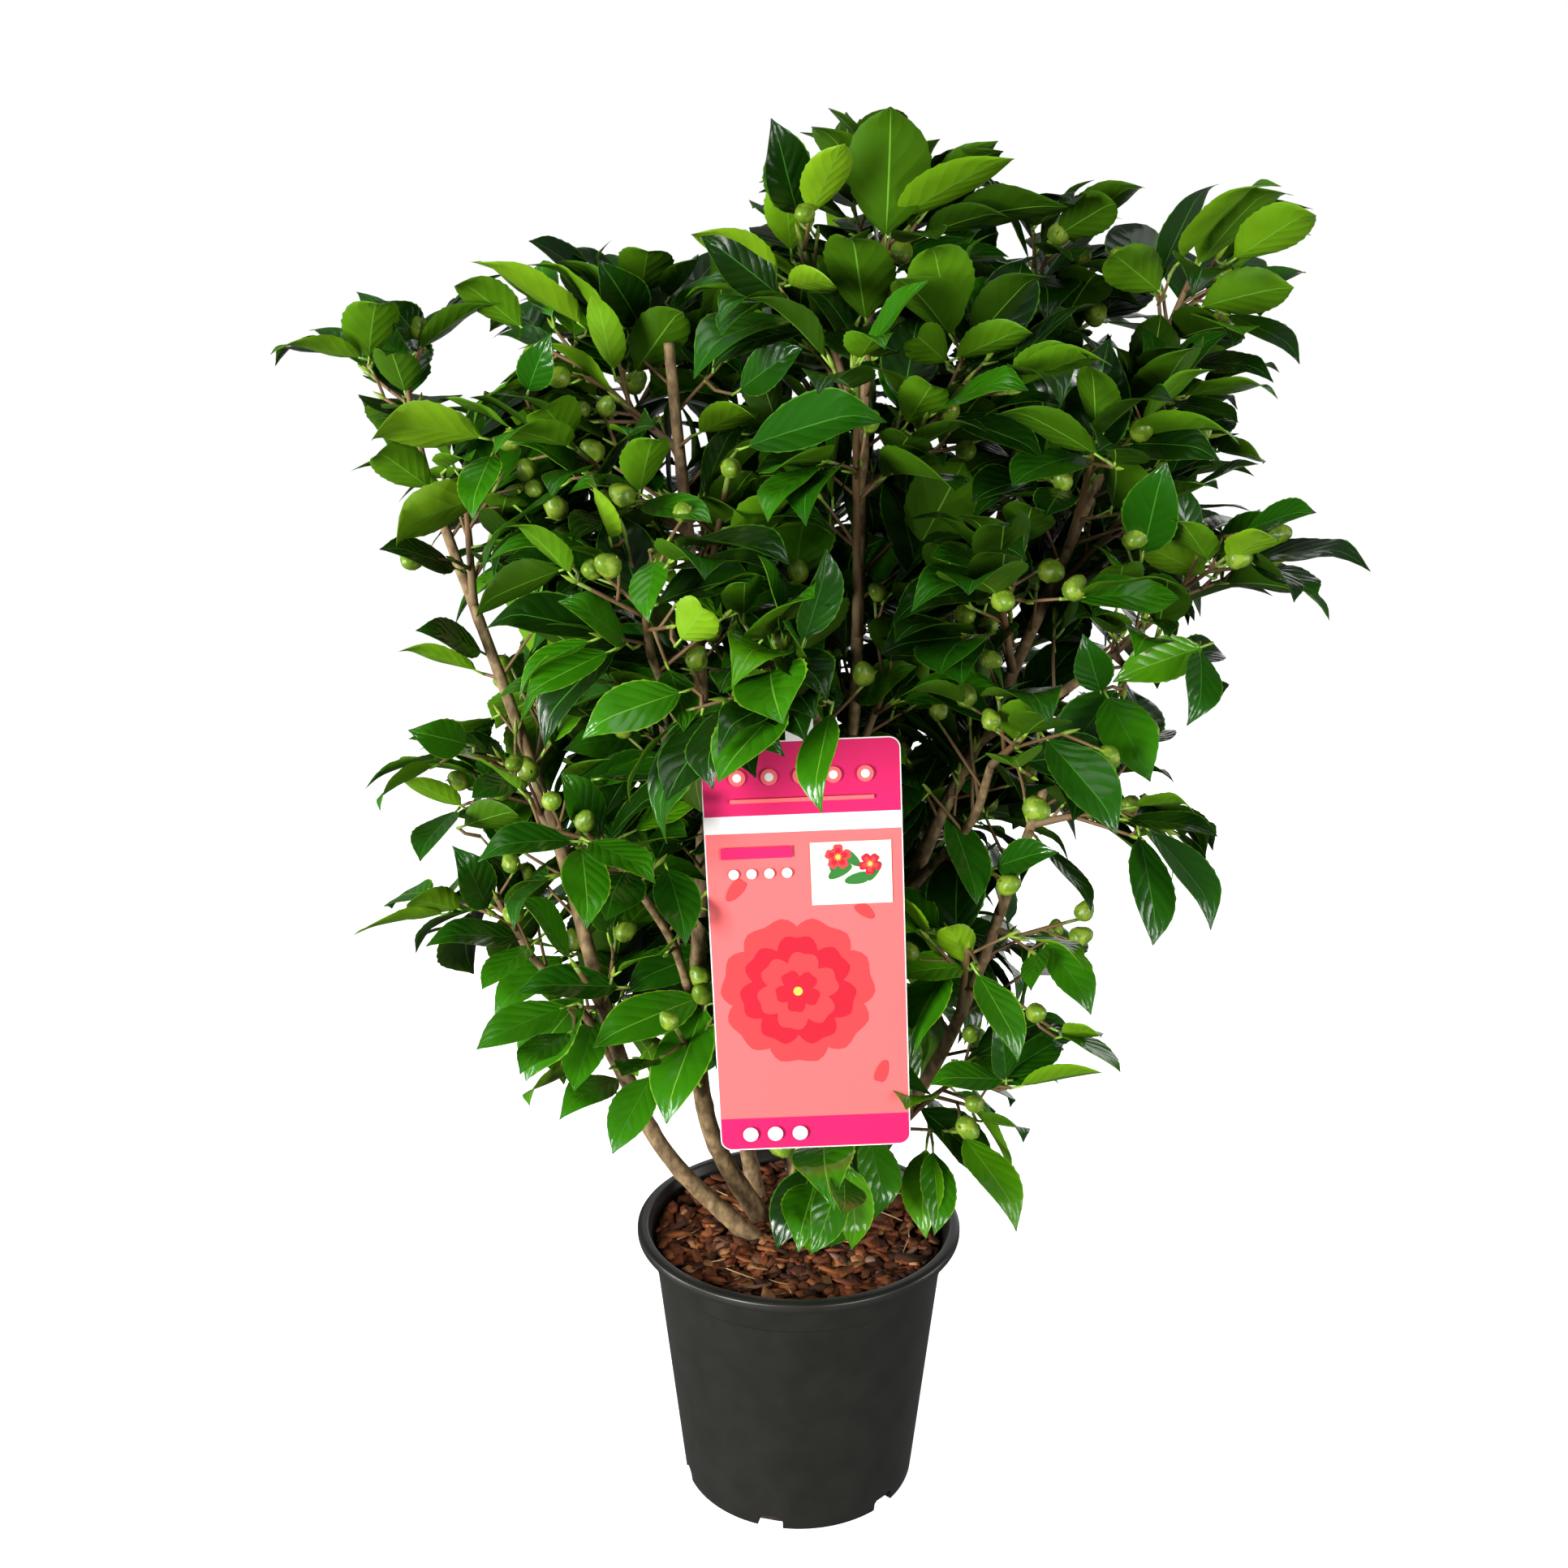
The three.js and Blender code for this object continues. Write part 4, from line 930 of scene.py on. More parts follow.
QUILTING = (0, 0.03, 0, -0.03)
TOP, MARGIN, RIB, UNDER, UNDER_RIB = range(5)
TOOTH_PLACE = 0.62


def blade_template():
    """A serrated blade on a grid: each point's share of the length, side, puffing and layer; faces, parts."""
    share, side, quilt, edge = [], [], [], []
    for i, u in enumerate(STATIONS):
        for s in (-1, *COLUMNS, 1):
            share.append(u)
            side.append(s)
            quilt.append(QUILTING[(i + (s < 0)) % 4] if abs(s) == 0.5 else 0)
            edge.append(abs(s) == 1)
    across = len(COLUMNS) + 2
    teeth = {-1: [], 1: []}
    for sign in (-1, 1):
        for i in range(len(STATIONS) - 1):
            teeth[sign].append(len(share))
            share.append(lerp(STATIONS[i], STATIONS[i + 1], TOOTH_PLACE))
            side.append(sign * TOOTH)
            quilt.append(0)
            edge.append(True)
    faces, parts = [], []
    for i in range(len(STATIONS) - 1):
        for j in range(1, across - 2):
            a, b = i * across + j, (i + 1) * across + j
            faces += [(a, b, b + 1), (a, b + 1, a + 1)]
            parts += [RIB if j == 3 else TOP] * 2
        for sign, inner, outer in ((1, across - 2, across - 1), (-1, 1, 0)):
            a, b = i * across + inner, (i + 1) * across + inner
            rim_a, rim_b = i * across + outer, (i + 1) * across + outer
            tooth = teeth[sign][i]
            rim = [(a, b, tooth), (b, rim_b, tooth), (a, tooth, rim_a)]
            faces += rim if sign > 0 else [face[::-1] for face in rim]
            parts += [MARGIN] * 3
    count = len(share)
    under = {TOP: UNDER, MARGIN: UNDER, RIB: UNDER_RIB}
    faces += [tuple(v + count for v in face[::-1]) for face in faces]
    parts += [under[part] for part in parts]
    layers = [*np.zeros(count), *np.where(edge, 0, 1)]
    return [np.array(values) for values in (share * 2, side * 2, quilt * 2, layers, faces, parts)]


SHARE, SIDE, QUILT, LAYER, BLADE_FACES, BLADE_PARTS = blade_template()
BLADE_MARKS = np.stack([SHARE, SIDE, np.zeros(len(SHARE))], 1)
CURL_FROM = 0.72


def half_and_curl(share):
    """Half width of the blade, and how far its tip curls, at shares of its length."""
    return np.interp(share, *np.array(WIDTH_AT).T), np.maximum(0, share - CURL_FROM) ** 2


HALF, CURL = half_and_curl(SHARE)


def leaf_points(leaf, share, side, half, lift=0.0, curl=0.0):
    """Where points of a leaf's blade are, for shares of its length and of its half width."""
    along, face = leaf["along"], leaf["face"]
    across = np.cross(face, along)
    length = leaf["length"] - LEAF["petiole"]
    half_width = half * 0.5 * LEAF["width"] * leaf["width"] * length
    twist = leaf["twist"] * share
    out = np.cos(twist)[:, None] * across + np.sin(twist)[:, None] * face
    wave = leaf["wave"] * np.sin(share * 9 + leaf["phase"]) * np.abs(side) ** 2
    height = (LEAF["fold"] * leaf["fold"] * np.abs(side) + lift + wave) * half_width
    height = height - LEAF["droop"] * leaf["droop"] * length * share**2 - 1.6 * leaf["curl"] * length * curl
    bend = leaf["bend"] * length * share**2
    base = leaf["start"] + along * LEAF["petiole"]
    return (
        base
        + along * (share * length)[:, None]
        + across * bend[:, None]
        + out * (side * half_width)[:, None]
        + face * height[:, None]
    )


# Ranges that a leaf's shape is drawn from: of the grown leaves, and of those that stand out at the front.
LEAF_BEND = (-0.06, 0.06)
GROWN_SHAPE = {
    "width": (0.88, 1.12), "fold": (0.3, 1.7), "droop": (0.3, 1.5), "curl": (0.2, 2.2),
    "twist": (-0.35, 0.35), "wave": (0, 0.09), "phase": (0, 6),
}
SHOWN_SHAPE = {
    "fold": (0.4, 1.4), "droop": (0.2, 0.7), "curl": (0.3, 1.6), "twist": (-0.25, 0.25), "wave": (0, 0.08),
    "phase": (0, 6), "bend": LEAF_BEND,
}


def drawn_shape(ranges, draws):
    return {name: lerp(*ends, draw) for (name, ends), draw in zip(ranges.items(), draws)}


SAMPLE_GRID = np.meshgrid(np.linspace(0.12, 1, 9), [-1, -0.5, 0, 0.5, 1])
SAMPLE_SHARE, SAMPLE_SIDE = [grid.ravel() for grid in SAMPLE_GRID]
SAMPLE_HALF, SAMPLE_CURL = half_and_curl(SAMPLE_SHARE)


def leaf_samples(leaf):
    return leaf_points(leaf, SAMPLE_SHARE, SAMPLE_SIDE, SAMPLE_HALF, curl=SAMPLE_CURL)


def leaf_rows(end, mass, random):
    """The leaves of one end, from its tip backwards."""
    height = clamp((end["tip"][2] - CROWN[0]) / (CROWN[1] - CROWN[0]), 0, 1)
    first_turn = random() * 2 * math.pi
    rows = []
    for k, (distance, angle) in enumerate(NODES[end["order"]]):
        draws = [random() for _ in range(11)]
        if distance > end["leafy"]:
            continue
        size = lerp(*LEAF["size"], draws[0]) * YOUNG_SIZES.get(k, 1)
        rows.append(
            {
                "mass": mass,
                "k": k,
                "order": end["order"],
                "on": (end, 1 - distance / end["length"]),
                "start": end["tip"] - end["along"] * distance,
                "shoot": end["along"],
                "azimuth": first_turn + k * GOLDEN_ANGLE + (draws[1] - 0.5) * LEAF["turn_jitter"],
                "angle": math.radians(angle + (draws[2] - 0.5) * LEAF["angle_jitter"])
                * lerp(1, LEAF["upright"], height),
                "hang": lerp(*HANG, height),
                "length": LEAF["length"] * size,
                "bend": lerp(*LEAF_BEND, draws[9]),
                "shade": draws[10],
                "height": height,
                **drawn_shape(GROWN_SHAPE, draws[3:10]),
            }
        )
    return rows


LEAF_REACH = 58


class Crowd:
    """Samples of the leaves placed so far, to keep new ones clear of them."""

    def __init__(self, room, each):
        self.count = 0
        self.middles = np.zeros((room, 3))
        self.samples = np.zeros((room, each, 3))

    def clear(self, samples, apart):
        away = ((self.middles[: self.count] - samples.mean(0)) ** 2).sum(1)
        others = self.samples[np.flatnonzero(away < LEAF_REACH**2)].reshape(-1, 3)
        if not len(others):
            return True
        gaps = ((samples[:, None] - others[None]) ** 2).sum(2)
        return gaps.min() > apart**2

    def add(self, samples):
        self.middles[self.count] = samples.mean(0)
        self.samples[self.count] = samples
        self.count += 1


# How far a leaf stays off the card and pot, other limbs and twigs, and what is to be seen behind it.
OFF_CARD, OFF_LIMBS, OFF_SIGHT = 2, 1.5, 3
# A leaf faces partly along its twig and partly up.
FACE_ALONG, FACE_UP = 0.7, 0.75
# A leaf is tried at these shares of its angle to the twig, each time turned on round it.
TRIES = (1, 1, 1, 0.75, 0.75, 0.75, 0.5, 0.5, 0.5)


def placed(leaf):
    """Turns a leaf round its twig until it has room; None where no try does."""
    for attempt, share in enumerate(TRIES):
        along = turned(leaf["shoot"], leaf["azimuth"] + attempt * NEXT_TURN, leaf["angle"] * share)
        along = unit(along - UP * leaf["hang"])
        face = leaf["shoot"] * FACE_ALONG + UP * FACE_UP
        face = unit(face - along * face.dot(along))
        candidate = {**leaf, "along": along, "face": face}
        samples = leaf_samples(candidate)
        if (
            inside_box(samples)
            and in_own_space(samples, leaf["mass"], LEAF["space"])
            and clear_of_card_and_pot(samples, OFF_CARD)
            and clear_of_limbs(samples, leaf["mass"], OFF_LIMBS)
            and leaves_card_open(samples)
            and clear_of_sky(samples)
            and not crosses_sight(samples, open_targets[:, :3], open_targets[:, 3], OFF_SIGHT)
            and crowd.clear(samples, LEAF["apart"])
        ):
            crowd.add(samples)
            keep_twig(*leaf["on"])
            return candidate
    return None


def shown_leaf(row, draws):
    """A leaf that stands out at the front, from its row in the table."""
    base, tip = np.array(row[:3], float), np.array(row[3:6], float)
    width, tilt, underside, tone = row[6:]
    length = np.linalg.norm(tip - base)
    along = (tip - base) / length
    toward = VIEWER - base
    toward = unit(toward - along * toward.dot(along)) * (-1 if underside else 1)
    upward = np.cross(along, toward)
    if upward[2] < 0:
        upward = -upward
    return {
        "start": base - along * LEAF["petiole"],
        "along": along,
        "face": toward * math.cos(math.radians(tilt)) + upward * math.sin(math.radians(tilt)),
        "length": length + LEAF["petiole"],
        "width": width / (LEAF["width"] * length),
        "tone": tone,
        "mass": -1,
        **drawn_shape(SHOWN_SHAPE, draws),
    }


OLD_WOOD, RED_WOOD, GREEN_WOOD = range(3)
# A leaf further than JOINT off the nearest twig gets a thin twig of its own, red where it is a long one.
JOINT = 1
LONG_JOINT = 9
JOINT_RADII = (1.15, 1.0, 0.9)


def join_leaf(leaf):
    """Joins a leaf that stands out to the nearest twig."""
    start = leaf["start"]
    nearest = np.argmin(((twig_points - start) ** 2).sum(1))
    foot = twig_points[nearest]
    keep_twig(*twig_places[nearest])
    span = np.linalg.norm(start - foot)
    if span > JOINT:
        middle = (foot + start) / 2 - leaf["along"] * min(3, span / 5)
        line = [foot, middle, start + leaf["along"]]
        twigs.add(*tube(line, JOINT_RADII, TWIG_SIDES), RED_WOOD if span > LONG_JOINT else GREEN_WOOD)


# Share of its width by which a leaf that stands out is kept free, seen from the front.
SHOWN_OPEN = 0.3
rows = []
for mass, ends in all_ends:
    random = random_from(SEED + MASS_SEEDS * mass + 1)
    for end in ends:
        rows += leaf_rows(end, mass, random)
rows.sort(key=lambda leaf: (leaf["mass"] < 0, leaf["order"] > 1, leaf["k"], leaf["mass"]))
crowd = Crowd(len(rows) + len(SHOWN), len(SAMPLE_SHARE))
leaves = []
twigs = Bundle()
twig_points, twig_places = [], []
for _, ends in all_ends:
    for end in ends:
        shares, line = twig_line(end)
        twig_points.extend(line)
        twig_places += [(end, share) for share in shares]
twig_points = np.array(twig_points)
random = random_from(SEED + 7)
for row in SHOWN:
    leaf = shown_leaf(row, [random() for _ in range(7)])
    samples = leaf_samples(leaf)
    if inside_box(samples):
        crowd.add(samples)
        leaves.append(leaf)
        join_leaf(leaf)
        if leaf["tone"] > 1:
            middles = samples[SAMPLE_SIDE == 0][1:8:2]
            open_points += [(*middle, SHOWN_OPEN * row[6]) for middle in middles]
open_targets = np.array(open_points)
leaves += [found for found in map(placed, rows) if found]
# Shares of a twig's length where its wood turns from old to red, and from red to green, by its order.
RED_FROM = {0: 0.35, 1: 0, 2: 0, 3: 0}
GREEN_FROM = {0: 0.86, 1: 0.62, 2: 0.62, 3: 0.62}
NODE_SPACING = 6.5
for mass, ends in all_ends:
    for end in ends:
        if end["reach"] == 0:
            continue
        order = end["order"]
        share, line = twig_line(end, end["reach"])
        radii = lerp(*TWIG_RADII[order], share / end["reach"])
        if order == 0:
            radii = radii * (1 + 0.12 * np.abs(np.sin(share * end["length"] / NODE_SPACING + mass)))
        looks = np.where(share[:-1] < RED_FROM[order], OLD_WOOD, RED_WOOD)
        looks = np.where(share[:-1] < GREEN_FROM[order], looks, GREEN_WOOD)
        ends_looks = np.repeat([RED_WOOD, GREEN_WOOD], TWIG_SIDES)
        twigs.add(*tube(line, radii, TWIG_SIDES), [*np.repeat(looks, 2 * TWIG_SIDES), *ends_looks])
        if end["bud"]:
            along = unit(line[-1] - line[-2])
            buds.add(*leaf_bud(line[-1] - along, along, end["bud"]), PALE)
buds.piece("buds", BUD_LOOKS, "foliage")
for leaf in leaves:
    leaf["inner"] = leaf["mass"] < 0
    if leaf["inner"]:
        leaf["mass"] = int(np.argmin(((sites - leaf["start"]) ** 2).sum(1)))

# Greens by spray and by leaf, and for painted light and shade: dark old leaves, mid and younger ones, and
# pale undersides.
GLOSS = (170, 0.4, 0.0005)
DOWN = (160, 0.35, 0.0005)
TOP_VEINS = 0.0002
UNDER_VEINS = 0.00016


def leaf_top(name, color, roughness, specular):
    return veined(quilted(plain(name, color, roughness, specular=specular), *GLOSS), TOP_VEINS)


def leaf_under(name, color, roughness=0.5, specular=0.12):
    return veined(quilted(plain(name, color, roughness, specular=specular), *DOWN), UNDER_VEINS, True)


def leaf_line(name, color):
    return plain(name, color, 0.45, specular=0.3)


TOPS = [
    leaf_top("leaf_top_1", (0.005, 0.028, 0.001), 0.25, 0.42),
    leaf_top("leaf_top_2", (0.011, 0.072, 0.002), 0.23, 0.42),
    leaf_top("leaf_top_3", (0.026, 0.145, 0.002), 0.22, 0.44),
    leaf_top("leaf_top_4", (0.056, 0.21, 0.002), 0.25, 0.4),
    leaf_top("leaf_top_5", (0.1, 0.26, 0.002), 0.28, 0.38),
]
UNDERS = [
    leaf_under("leaf_under_1", (0.018, 0.054, 0.001)),
    leaf_under("leaf_under_2", (0.037, 0.105, 0.002)),
    leaf_under("leaf_under_3", (0.064, 0.168, 0.003)),
    leaf_under("leaf_under_4", (0.1, 0.228, 0.004)),
    leaf_under("leaf_under_5", (0.145, 0.29, 0.006), 0.48, 0.2),
]
MARGINS = [leaf_line("leaf_margin_1", (0.045, 0.15, 0.006)), leaf_line("leaf_margin_2", (0.14, 0.3, 0.012))]
RIBS = [leaf_line("leaf_rib_1", (0.04, 0.17, 0.012)), leaf_line("leaf_rib_2", (0.13, 0.32, 0.025))]
STALKS = [plain("leaf_stalk", (0.2, 0.36, 0.03), 0.45)]
LEAF_LOOKS = TOPS + UNDERS + MARGINS + RIBS + STALKS
UNDER_FIRST = len(TOPS)
MARGIN_FIRST = UNDER_FIRST + len(UNDERS)
RIB_FIRST = MARGIN_FIRST + len(MARGINS)
STALK_LOOK = RIB_FIRST + len(RIBS)
LEAVES_IN_PIECE = 400
SPRAY_SEEDS = 977
# A leaf's youth from 0 to 1, which also carries painted shade: shares of its own draw, its spray's draw and a
# place near the tip, less the painted shade that its depth in the crown, its height and each millimetre
# towards the right take away.
OWN_YOUTH, SPRAY_YOUTH, TIP_YOUTH = 0.62, 0.25, 0.2
INNER_SHADE = 0.22
HIGH_SHADE = 0.4
SIDE_SHADE = 0.0004


def leaf_looks(leaf):
    """Material of each part of a leaf, dealt by its spray, its own draw and painted shade for its depth,
    height and side.
    """
    if "tone" in leaf:
        # A leaf that stands out is as light as its tone, which holds its own green with painted light and
        # shade.
        youth_and_painted_shade = (leaf["tone"] + 0.5) / 10
    else:
        spray = random_from(SEED + SPRAY_SEEDS * leaf["mass"])()
        youth_and_painted_shade = OWN_YOUTH * leaf["shade"] + SPRAY_YOUTH * spray + TIP_YOUTH * (leaf["k"] < 2)
        # Painted shade: darker greens deep in the crown, high up and towards the right.
        youth_and_painted_shade -= HIGH_SHADE * leaf["height"] + INNER_SHADE * leaf["inner"] + SIDE_SHADE * leaf["start"][0]
    top = int(clamp(youth_and_painted_shade * len(TOPS), 0, len(TOPS) - 1))
    under = int(clamp(youth_and_painted_shade * len(UNDERS), 0, len(UNDERS) - 1))
    pale = int(youth_and_painted_shade > 0.5)
    looks = {
        TOP: top, MARGIN: MARGIN_FIRST + pale, RIB: RIB_FIRST + pale, UNDER: UNDER_FIRST + under,
        UNDER_RIB: RIB_FIRST + 1,
    }
    return np.array([looks[part] for part in range(len(looks))])[BLADE_PARTS]


LEAF_STALK = {"radii": (1.0, 0.75, 0.6), "sides": 5, "into_blade": 1.2, "sag": 0.3, "under": 0.35}


def add_leaf(bundle, leaf):
    points = leaf_points(leaf, SHARE, SIDE, HALF, QUILT, CURL)
    thickness = LEAF["thick"] * LAYER * np.clip(HALF * 3, 0, 1)
    bundle.add(points - leaf["face"] * thickness[:, None], BLADE_FACES, leaf_looks(leaf), BLADE_MARKS)
    start, along, face = leaf["start"], leaf["along"], leaf["face"]
    middle = start + along * LEAF["petiole"] * 0.5 - face * LEAF_STALK["sag"]
    end = start + along * (LEAF["petiole"] + LEAF_STALK["into_blade"]) - face * LEAF_STALK["under"]
    bundle.add(*tube([start, middle, end], LEAF_STALK["radii"], LEAF_STALK["sides"]), STALK_LOOK)


groups = {}
for leaf in sorted(leaves, key=lambda leaf: leaf["mass"]):
    groups.setdefault(leaf["mass"], []).append(leaf)
chunk, chunk_masses, chunk_leaves = Bundle(), [], 0
chunks = []
for mass in range(len(MASSES)):
    for leaf in groups.get(mass, []):
        add_leaf(chunk, leaf)
    chunk_masses.append(MASSES[mass][0])
    chunk_leaves += len(groups.get(mass, []))
    if chunk_leaves > LEAVES_IN_PIECE or mass == len(MASSES) - 1:
        chunks.append((chunk, chunk_masses))
        chunk, chunk_masses, chunk_leaves = Bundle(), [], 0
for number, (chunk, chunk_masses) in enumerate(chunks):
    chunk.piece(f"leaves_{number + 1}", LEAF_LOOKS, "foliage", chunk_masses)
twigs.piece("twigs", TWIG_LOOKS, "foliage")

# ---------------------------------------------------------------- pot
POT_COLORS = [(0.0098, 0.0095, 0.0078), (0.0135, 0.0132, 0.0108)]
POT_BLACK = mottled("pot_black", POT_COLORS, (60, 60, 60), 0.38, 0.05, 0.0002)
POT_SEGMENTS = 144
POT_CREASE = math.radians(32)


def rounded(corners, radius, steps=4):
    """A profile with its inner corners rounded off."""
    corners = [np.array(c, float) for c in corners]
    path = [corners[0]]
    for a, b, c in zip(corners, corners[1:], corners[2:]):
        reach = min(radius, np.linalg.norm(b - a) * 0.45, np.linalg.norm(c - b) * 0.45)
        start, end = b + unit(a - b) * reach, b + unit(c - b) * reach
        path += [(1 - t) ** 2 * start + 2 * t * (1 - t) * b + t**2 * end for t in np.linspace(0, 1, steps)]
    return [*path, corners[-1]]


def lathe(profile, segments):
    """A closed body of revolution; the profile runs from the axis round to the axis."""
    profile = np.array(profile)
    angles = circle(segments)
    inner = profile[1:-1]
    across, up = inner[:, :1], np.repeat(inner[:, 1:], segments, axis=1)
    rings = np.stack([across * np.cos(angles), across * np.sin(angles), up], axis=-1)
    vertices = np.concatenate([rings.reshape(-1, 3), [[0, 0, profile[0, 1]], [0, 0, profile[-1, 1]]]])
    return vertices, ring_faces(len(inner), segments)


shoulder = POT["height"] - POT["lip"] - POT["collar"]
band_top = POT["height"] - POT["lip"]
mouth_low = (POT["mouth"] - 2.4, POT["height"] - 5)
outside = [
    (0, 1.2), (52, 1.2), (53.5, 0), (POT["base"], 0), (POT["base"] + 1.2, 10), (POT["shoulder"], shoulder),
    (POT["collar_radii"][0], shoulder + 1.2), (POT["collar_radii"][1], band_top),
    (POT["rim"] - 0.6, band_top - 0.4), (POT["rim"], band_top + 1), (POT["rim"], POT["height"] - 1),
    (POT["rim"] - 2, POT["height"]), (POT["mouth"], POT["height"]), mouth_low,
    (POT["shoulder"] - POT["wall"], shoulder), (POT["base"] - POT["wall"], POT["floor"]), (0, POT["floor"]),
]
pot = Bundle()
pot.add(*lathe(rounded(outside, 0.7), POT_SEGMENTS), 0)
shell = pot.piece("pot_shell", [POT_BLACK], "pot", ["pot"])
# One half of a notch's outline from the front: shares of its half width, and heights.
top = NOTCH["height"]
half_notch = [(1, -top), (1, top - 3), (0.72, top - 0.8), (0.4, top)]
notch = [(-1, -top), *half_notch, *[(-x, z) for x, z in half_notch[:0:-1]]]
cutters = Bundle()
for angle in NOTCH["first"] + circle(NOTCH["count"]):
    out = np.array([math.cos(angle), math.sin(angle), 0])
    side = np.array([-out[1], out[0], 0])
    points = [
        out * (POT["base"] + reach) + side * x * NOTCH["width"] / 2 + UP * z
        for reach in (-NOTCH["depth"] / 2, NOTCH["depth"] / 2)
        for x, z in notch
    ]
    count = len(notch)
    ring = [(j, (j + 1) % count) for j in range(count)]
    faces = [(a, a + count, b + count) for a, b in ring] + [(a, b + count, b) for a, b in ring]
    faces += [(0, j, j + 1) for j in range(1, count - 1)]
    faces += [(count, count + j + 1, count + j) for j in range(1, count - 1)]
    cutters.add(np.array(points), np.array(faces)[:, ::-1], 0)
cutter = cutters.piece("notch_cutter", [POT_BLACK], "pot")
cut = shell.modifiers.new("notches", "BOOLEAN")
cut.object = cutter
cut.operation = "DIFFERENCE"
cut.solver = "EXACT"
cut_mesh = bpy.data.meshes.new_from_object(shell.evaluated_get(bpy.context.evaluated_depsgraph_get()))
shell.modifiers.clear()
shell.data = cut_mesh
shell.data.shade_smooth()
shell.data.set_sharp_from_angle(angle=POT_CREASE)
bpy.data.objects.remove(cutter)

# ---------------------------------------------------------------- bark mulch
BED = mottled("mulch_bed", [(0.01, 0.006, 0.004), (0.03, 0.014, 0.009)], (260, 260, 260), 0.95, 0.8, 0.002)
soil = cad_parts["soil"]
soil.data.materials.clear()
soil.data.materials.append(BED)
GRAIN = (420, 0.6, 0.0008)
# Chips of bark: name, colour, roughness, and the share of the chips up to which each is dealt.
CHIPS = (
    ("chip_rust", (0.215, 0.06, 0.022), 0.85, 0.3), ("chip_brown", (0.15, 0.05, 0.021), 0.88, 0.58),
    ("chip_dark", (0.056, 0.022, 0.012), 0.9, 0.74), ("chip_orange", (0.3, 0.098, 0.032), 0.82, 0.88),
    ("chip_tan", (0.46, 0.21, 0.085), 0.8, 0.95), ("chip_grey", (0.24, 0.13, 0.08), 0.9, 1),
)
CHIP_LOOKS = [quilted(plain(*chip[:3], specular=0.2), *GRAIN) for chip in CHIPS]
STRAW = plain("straw", (0.5, 0.36, 0.16), 0.7)
draw = random_from(SEED + 5)


def soil_height(radius):
    return SOIL["level"] - SOIL["drop"] * clamp((radius - SOIL["flat"]) / (SOIL["edge"] - SOIL["flat"]), 0, 1)


def wall_radius(z):
    """Inner radius of the pot's shell at a height near its mouth."""
    share = (z - shoulder) / (mouth_low[1] - shoulder)
    return lerp(POT["shoulder"] - POT["wall"], mouth_low[0], clamp(share, 0, 1))


def turn_matrix(yaw, pitch, roll):
    cy, sy, cp, sp, cr, sr = [f(a) for a in (yaw, pitch, roll) for f in (math.cos, math.sin)]
    about_z = np.array([[cy, -sy, 0], [sy, cy, 0], [0, 0, 1]])
    about_y = np.array([[cp, 0, sp], [0, 1, 0], [-sp, 0, cp]])
    about_x = np.array([[1, 0, 0], [0, cr, -sr], [0, sr, cr]])
    return about_z @ about_y @ about_x


CHIP_CORNERS = 6


def chip(length, width, thick):
    """A split of bark: a six-sided slab with uneven corners."""
    points = []
    for z in (-0.5, 0.5):
        for angle in circle(CHIP_CORNERS) + math.pi / CHIP_CORNERS:
            stretch = lerp(0.72, 1.15, draw()) * (1 if z < 0 else lerp(0.7, 1, draw()))
            x, y = 0.55 * length * math.cos(angle) * stretch, 0.55 * width * math.sin(angle) * stretch
            points.append((x, y, thick * (z + lerp(-0.22, 0.22, draw()))))
    faces = [(0, j + 1, j) for j in range(1, 5)] + [(6, 6 + j, 7 + j) for j in range(1, 5)]
    for j in range(CHIP_CORNERS):
        k = (j + 1) % CHIP_CORNERS
        faces += [(j, k, k + 6), (j, k + 6, j + 6)]
    return np.array(points), np.array(faces)


CHIP_COUNT = 1100
CHIP_AREA = 84
CHIP_OFF_WALL = 0.5
CHIP_LENGTH, CHIP_WIDTH, CHIP_THICK = (6, 24), (4.5, 11), (1, 2.6)
CHIP_TILT = (-0.45, 0.45)
CHIP_LIFT = (0.3, 3.2)
# The chips lie heaped against the pot's wall.
HEAP = {"from": 62, "over": 18, "height": 5}
mulch = Bundle()
for _ in range(CHIP_COUNT):
    radius = CHIP_AREA * math.sqrt(draw())
    angle = draw() * 2 * math.pi
    x, y = radius * math.cos(angle), radius * math.sin(angle)
    size = draw()
    length, width, thick = lerp(*CHIP_LENGTH, size**1.6), lerp(*CHIP_WIDTH, draw()), lerp(*CHIP_THICK, draw())
    yaw, pitch, roll = draw() * 2 * math.pi, lerp(*CHIP_TILT, draw()), lerp(*CHIP_TILT, draw())
    lift, pick = draw(), draw()
    points, faces = chip(length, width, thick)
    points = points @ turn_matrix(yaw, pitch, roll).T
    heap = HEAP["height"] * clamp((radius - HEAP["from"]) / HEAP["over"], 0, 1)
    points += (x, y, soil_height(radius) + lerp(CHIP_LIFT[0], CHIP_LIFT[1] + heap, lift))
    over = np.linalg.norm(points[:, :2], axis=1).max() - wall_radius(points[:, 2].min()) + CHIP_OFF_WALL
    if over > 0:
        points[:, :2] -= unit(np.array([x, y])) * over
    mulch.add(points, faces, next(j for j, row in enumerate(CHIPS) if pick <= row[3]))
mulch.piece("mulch_chips", CHIP_LOOKS, "mulch", smooth=False)

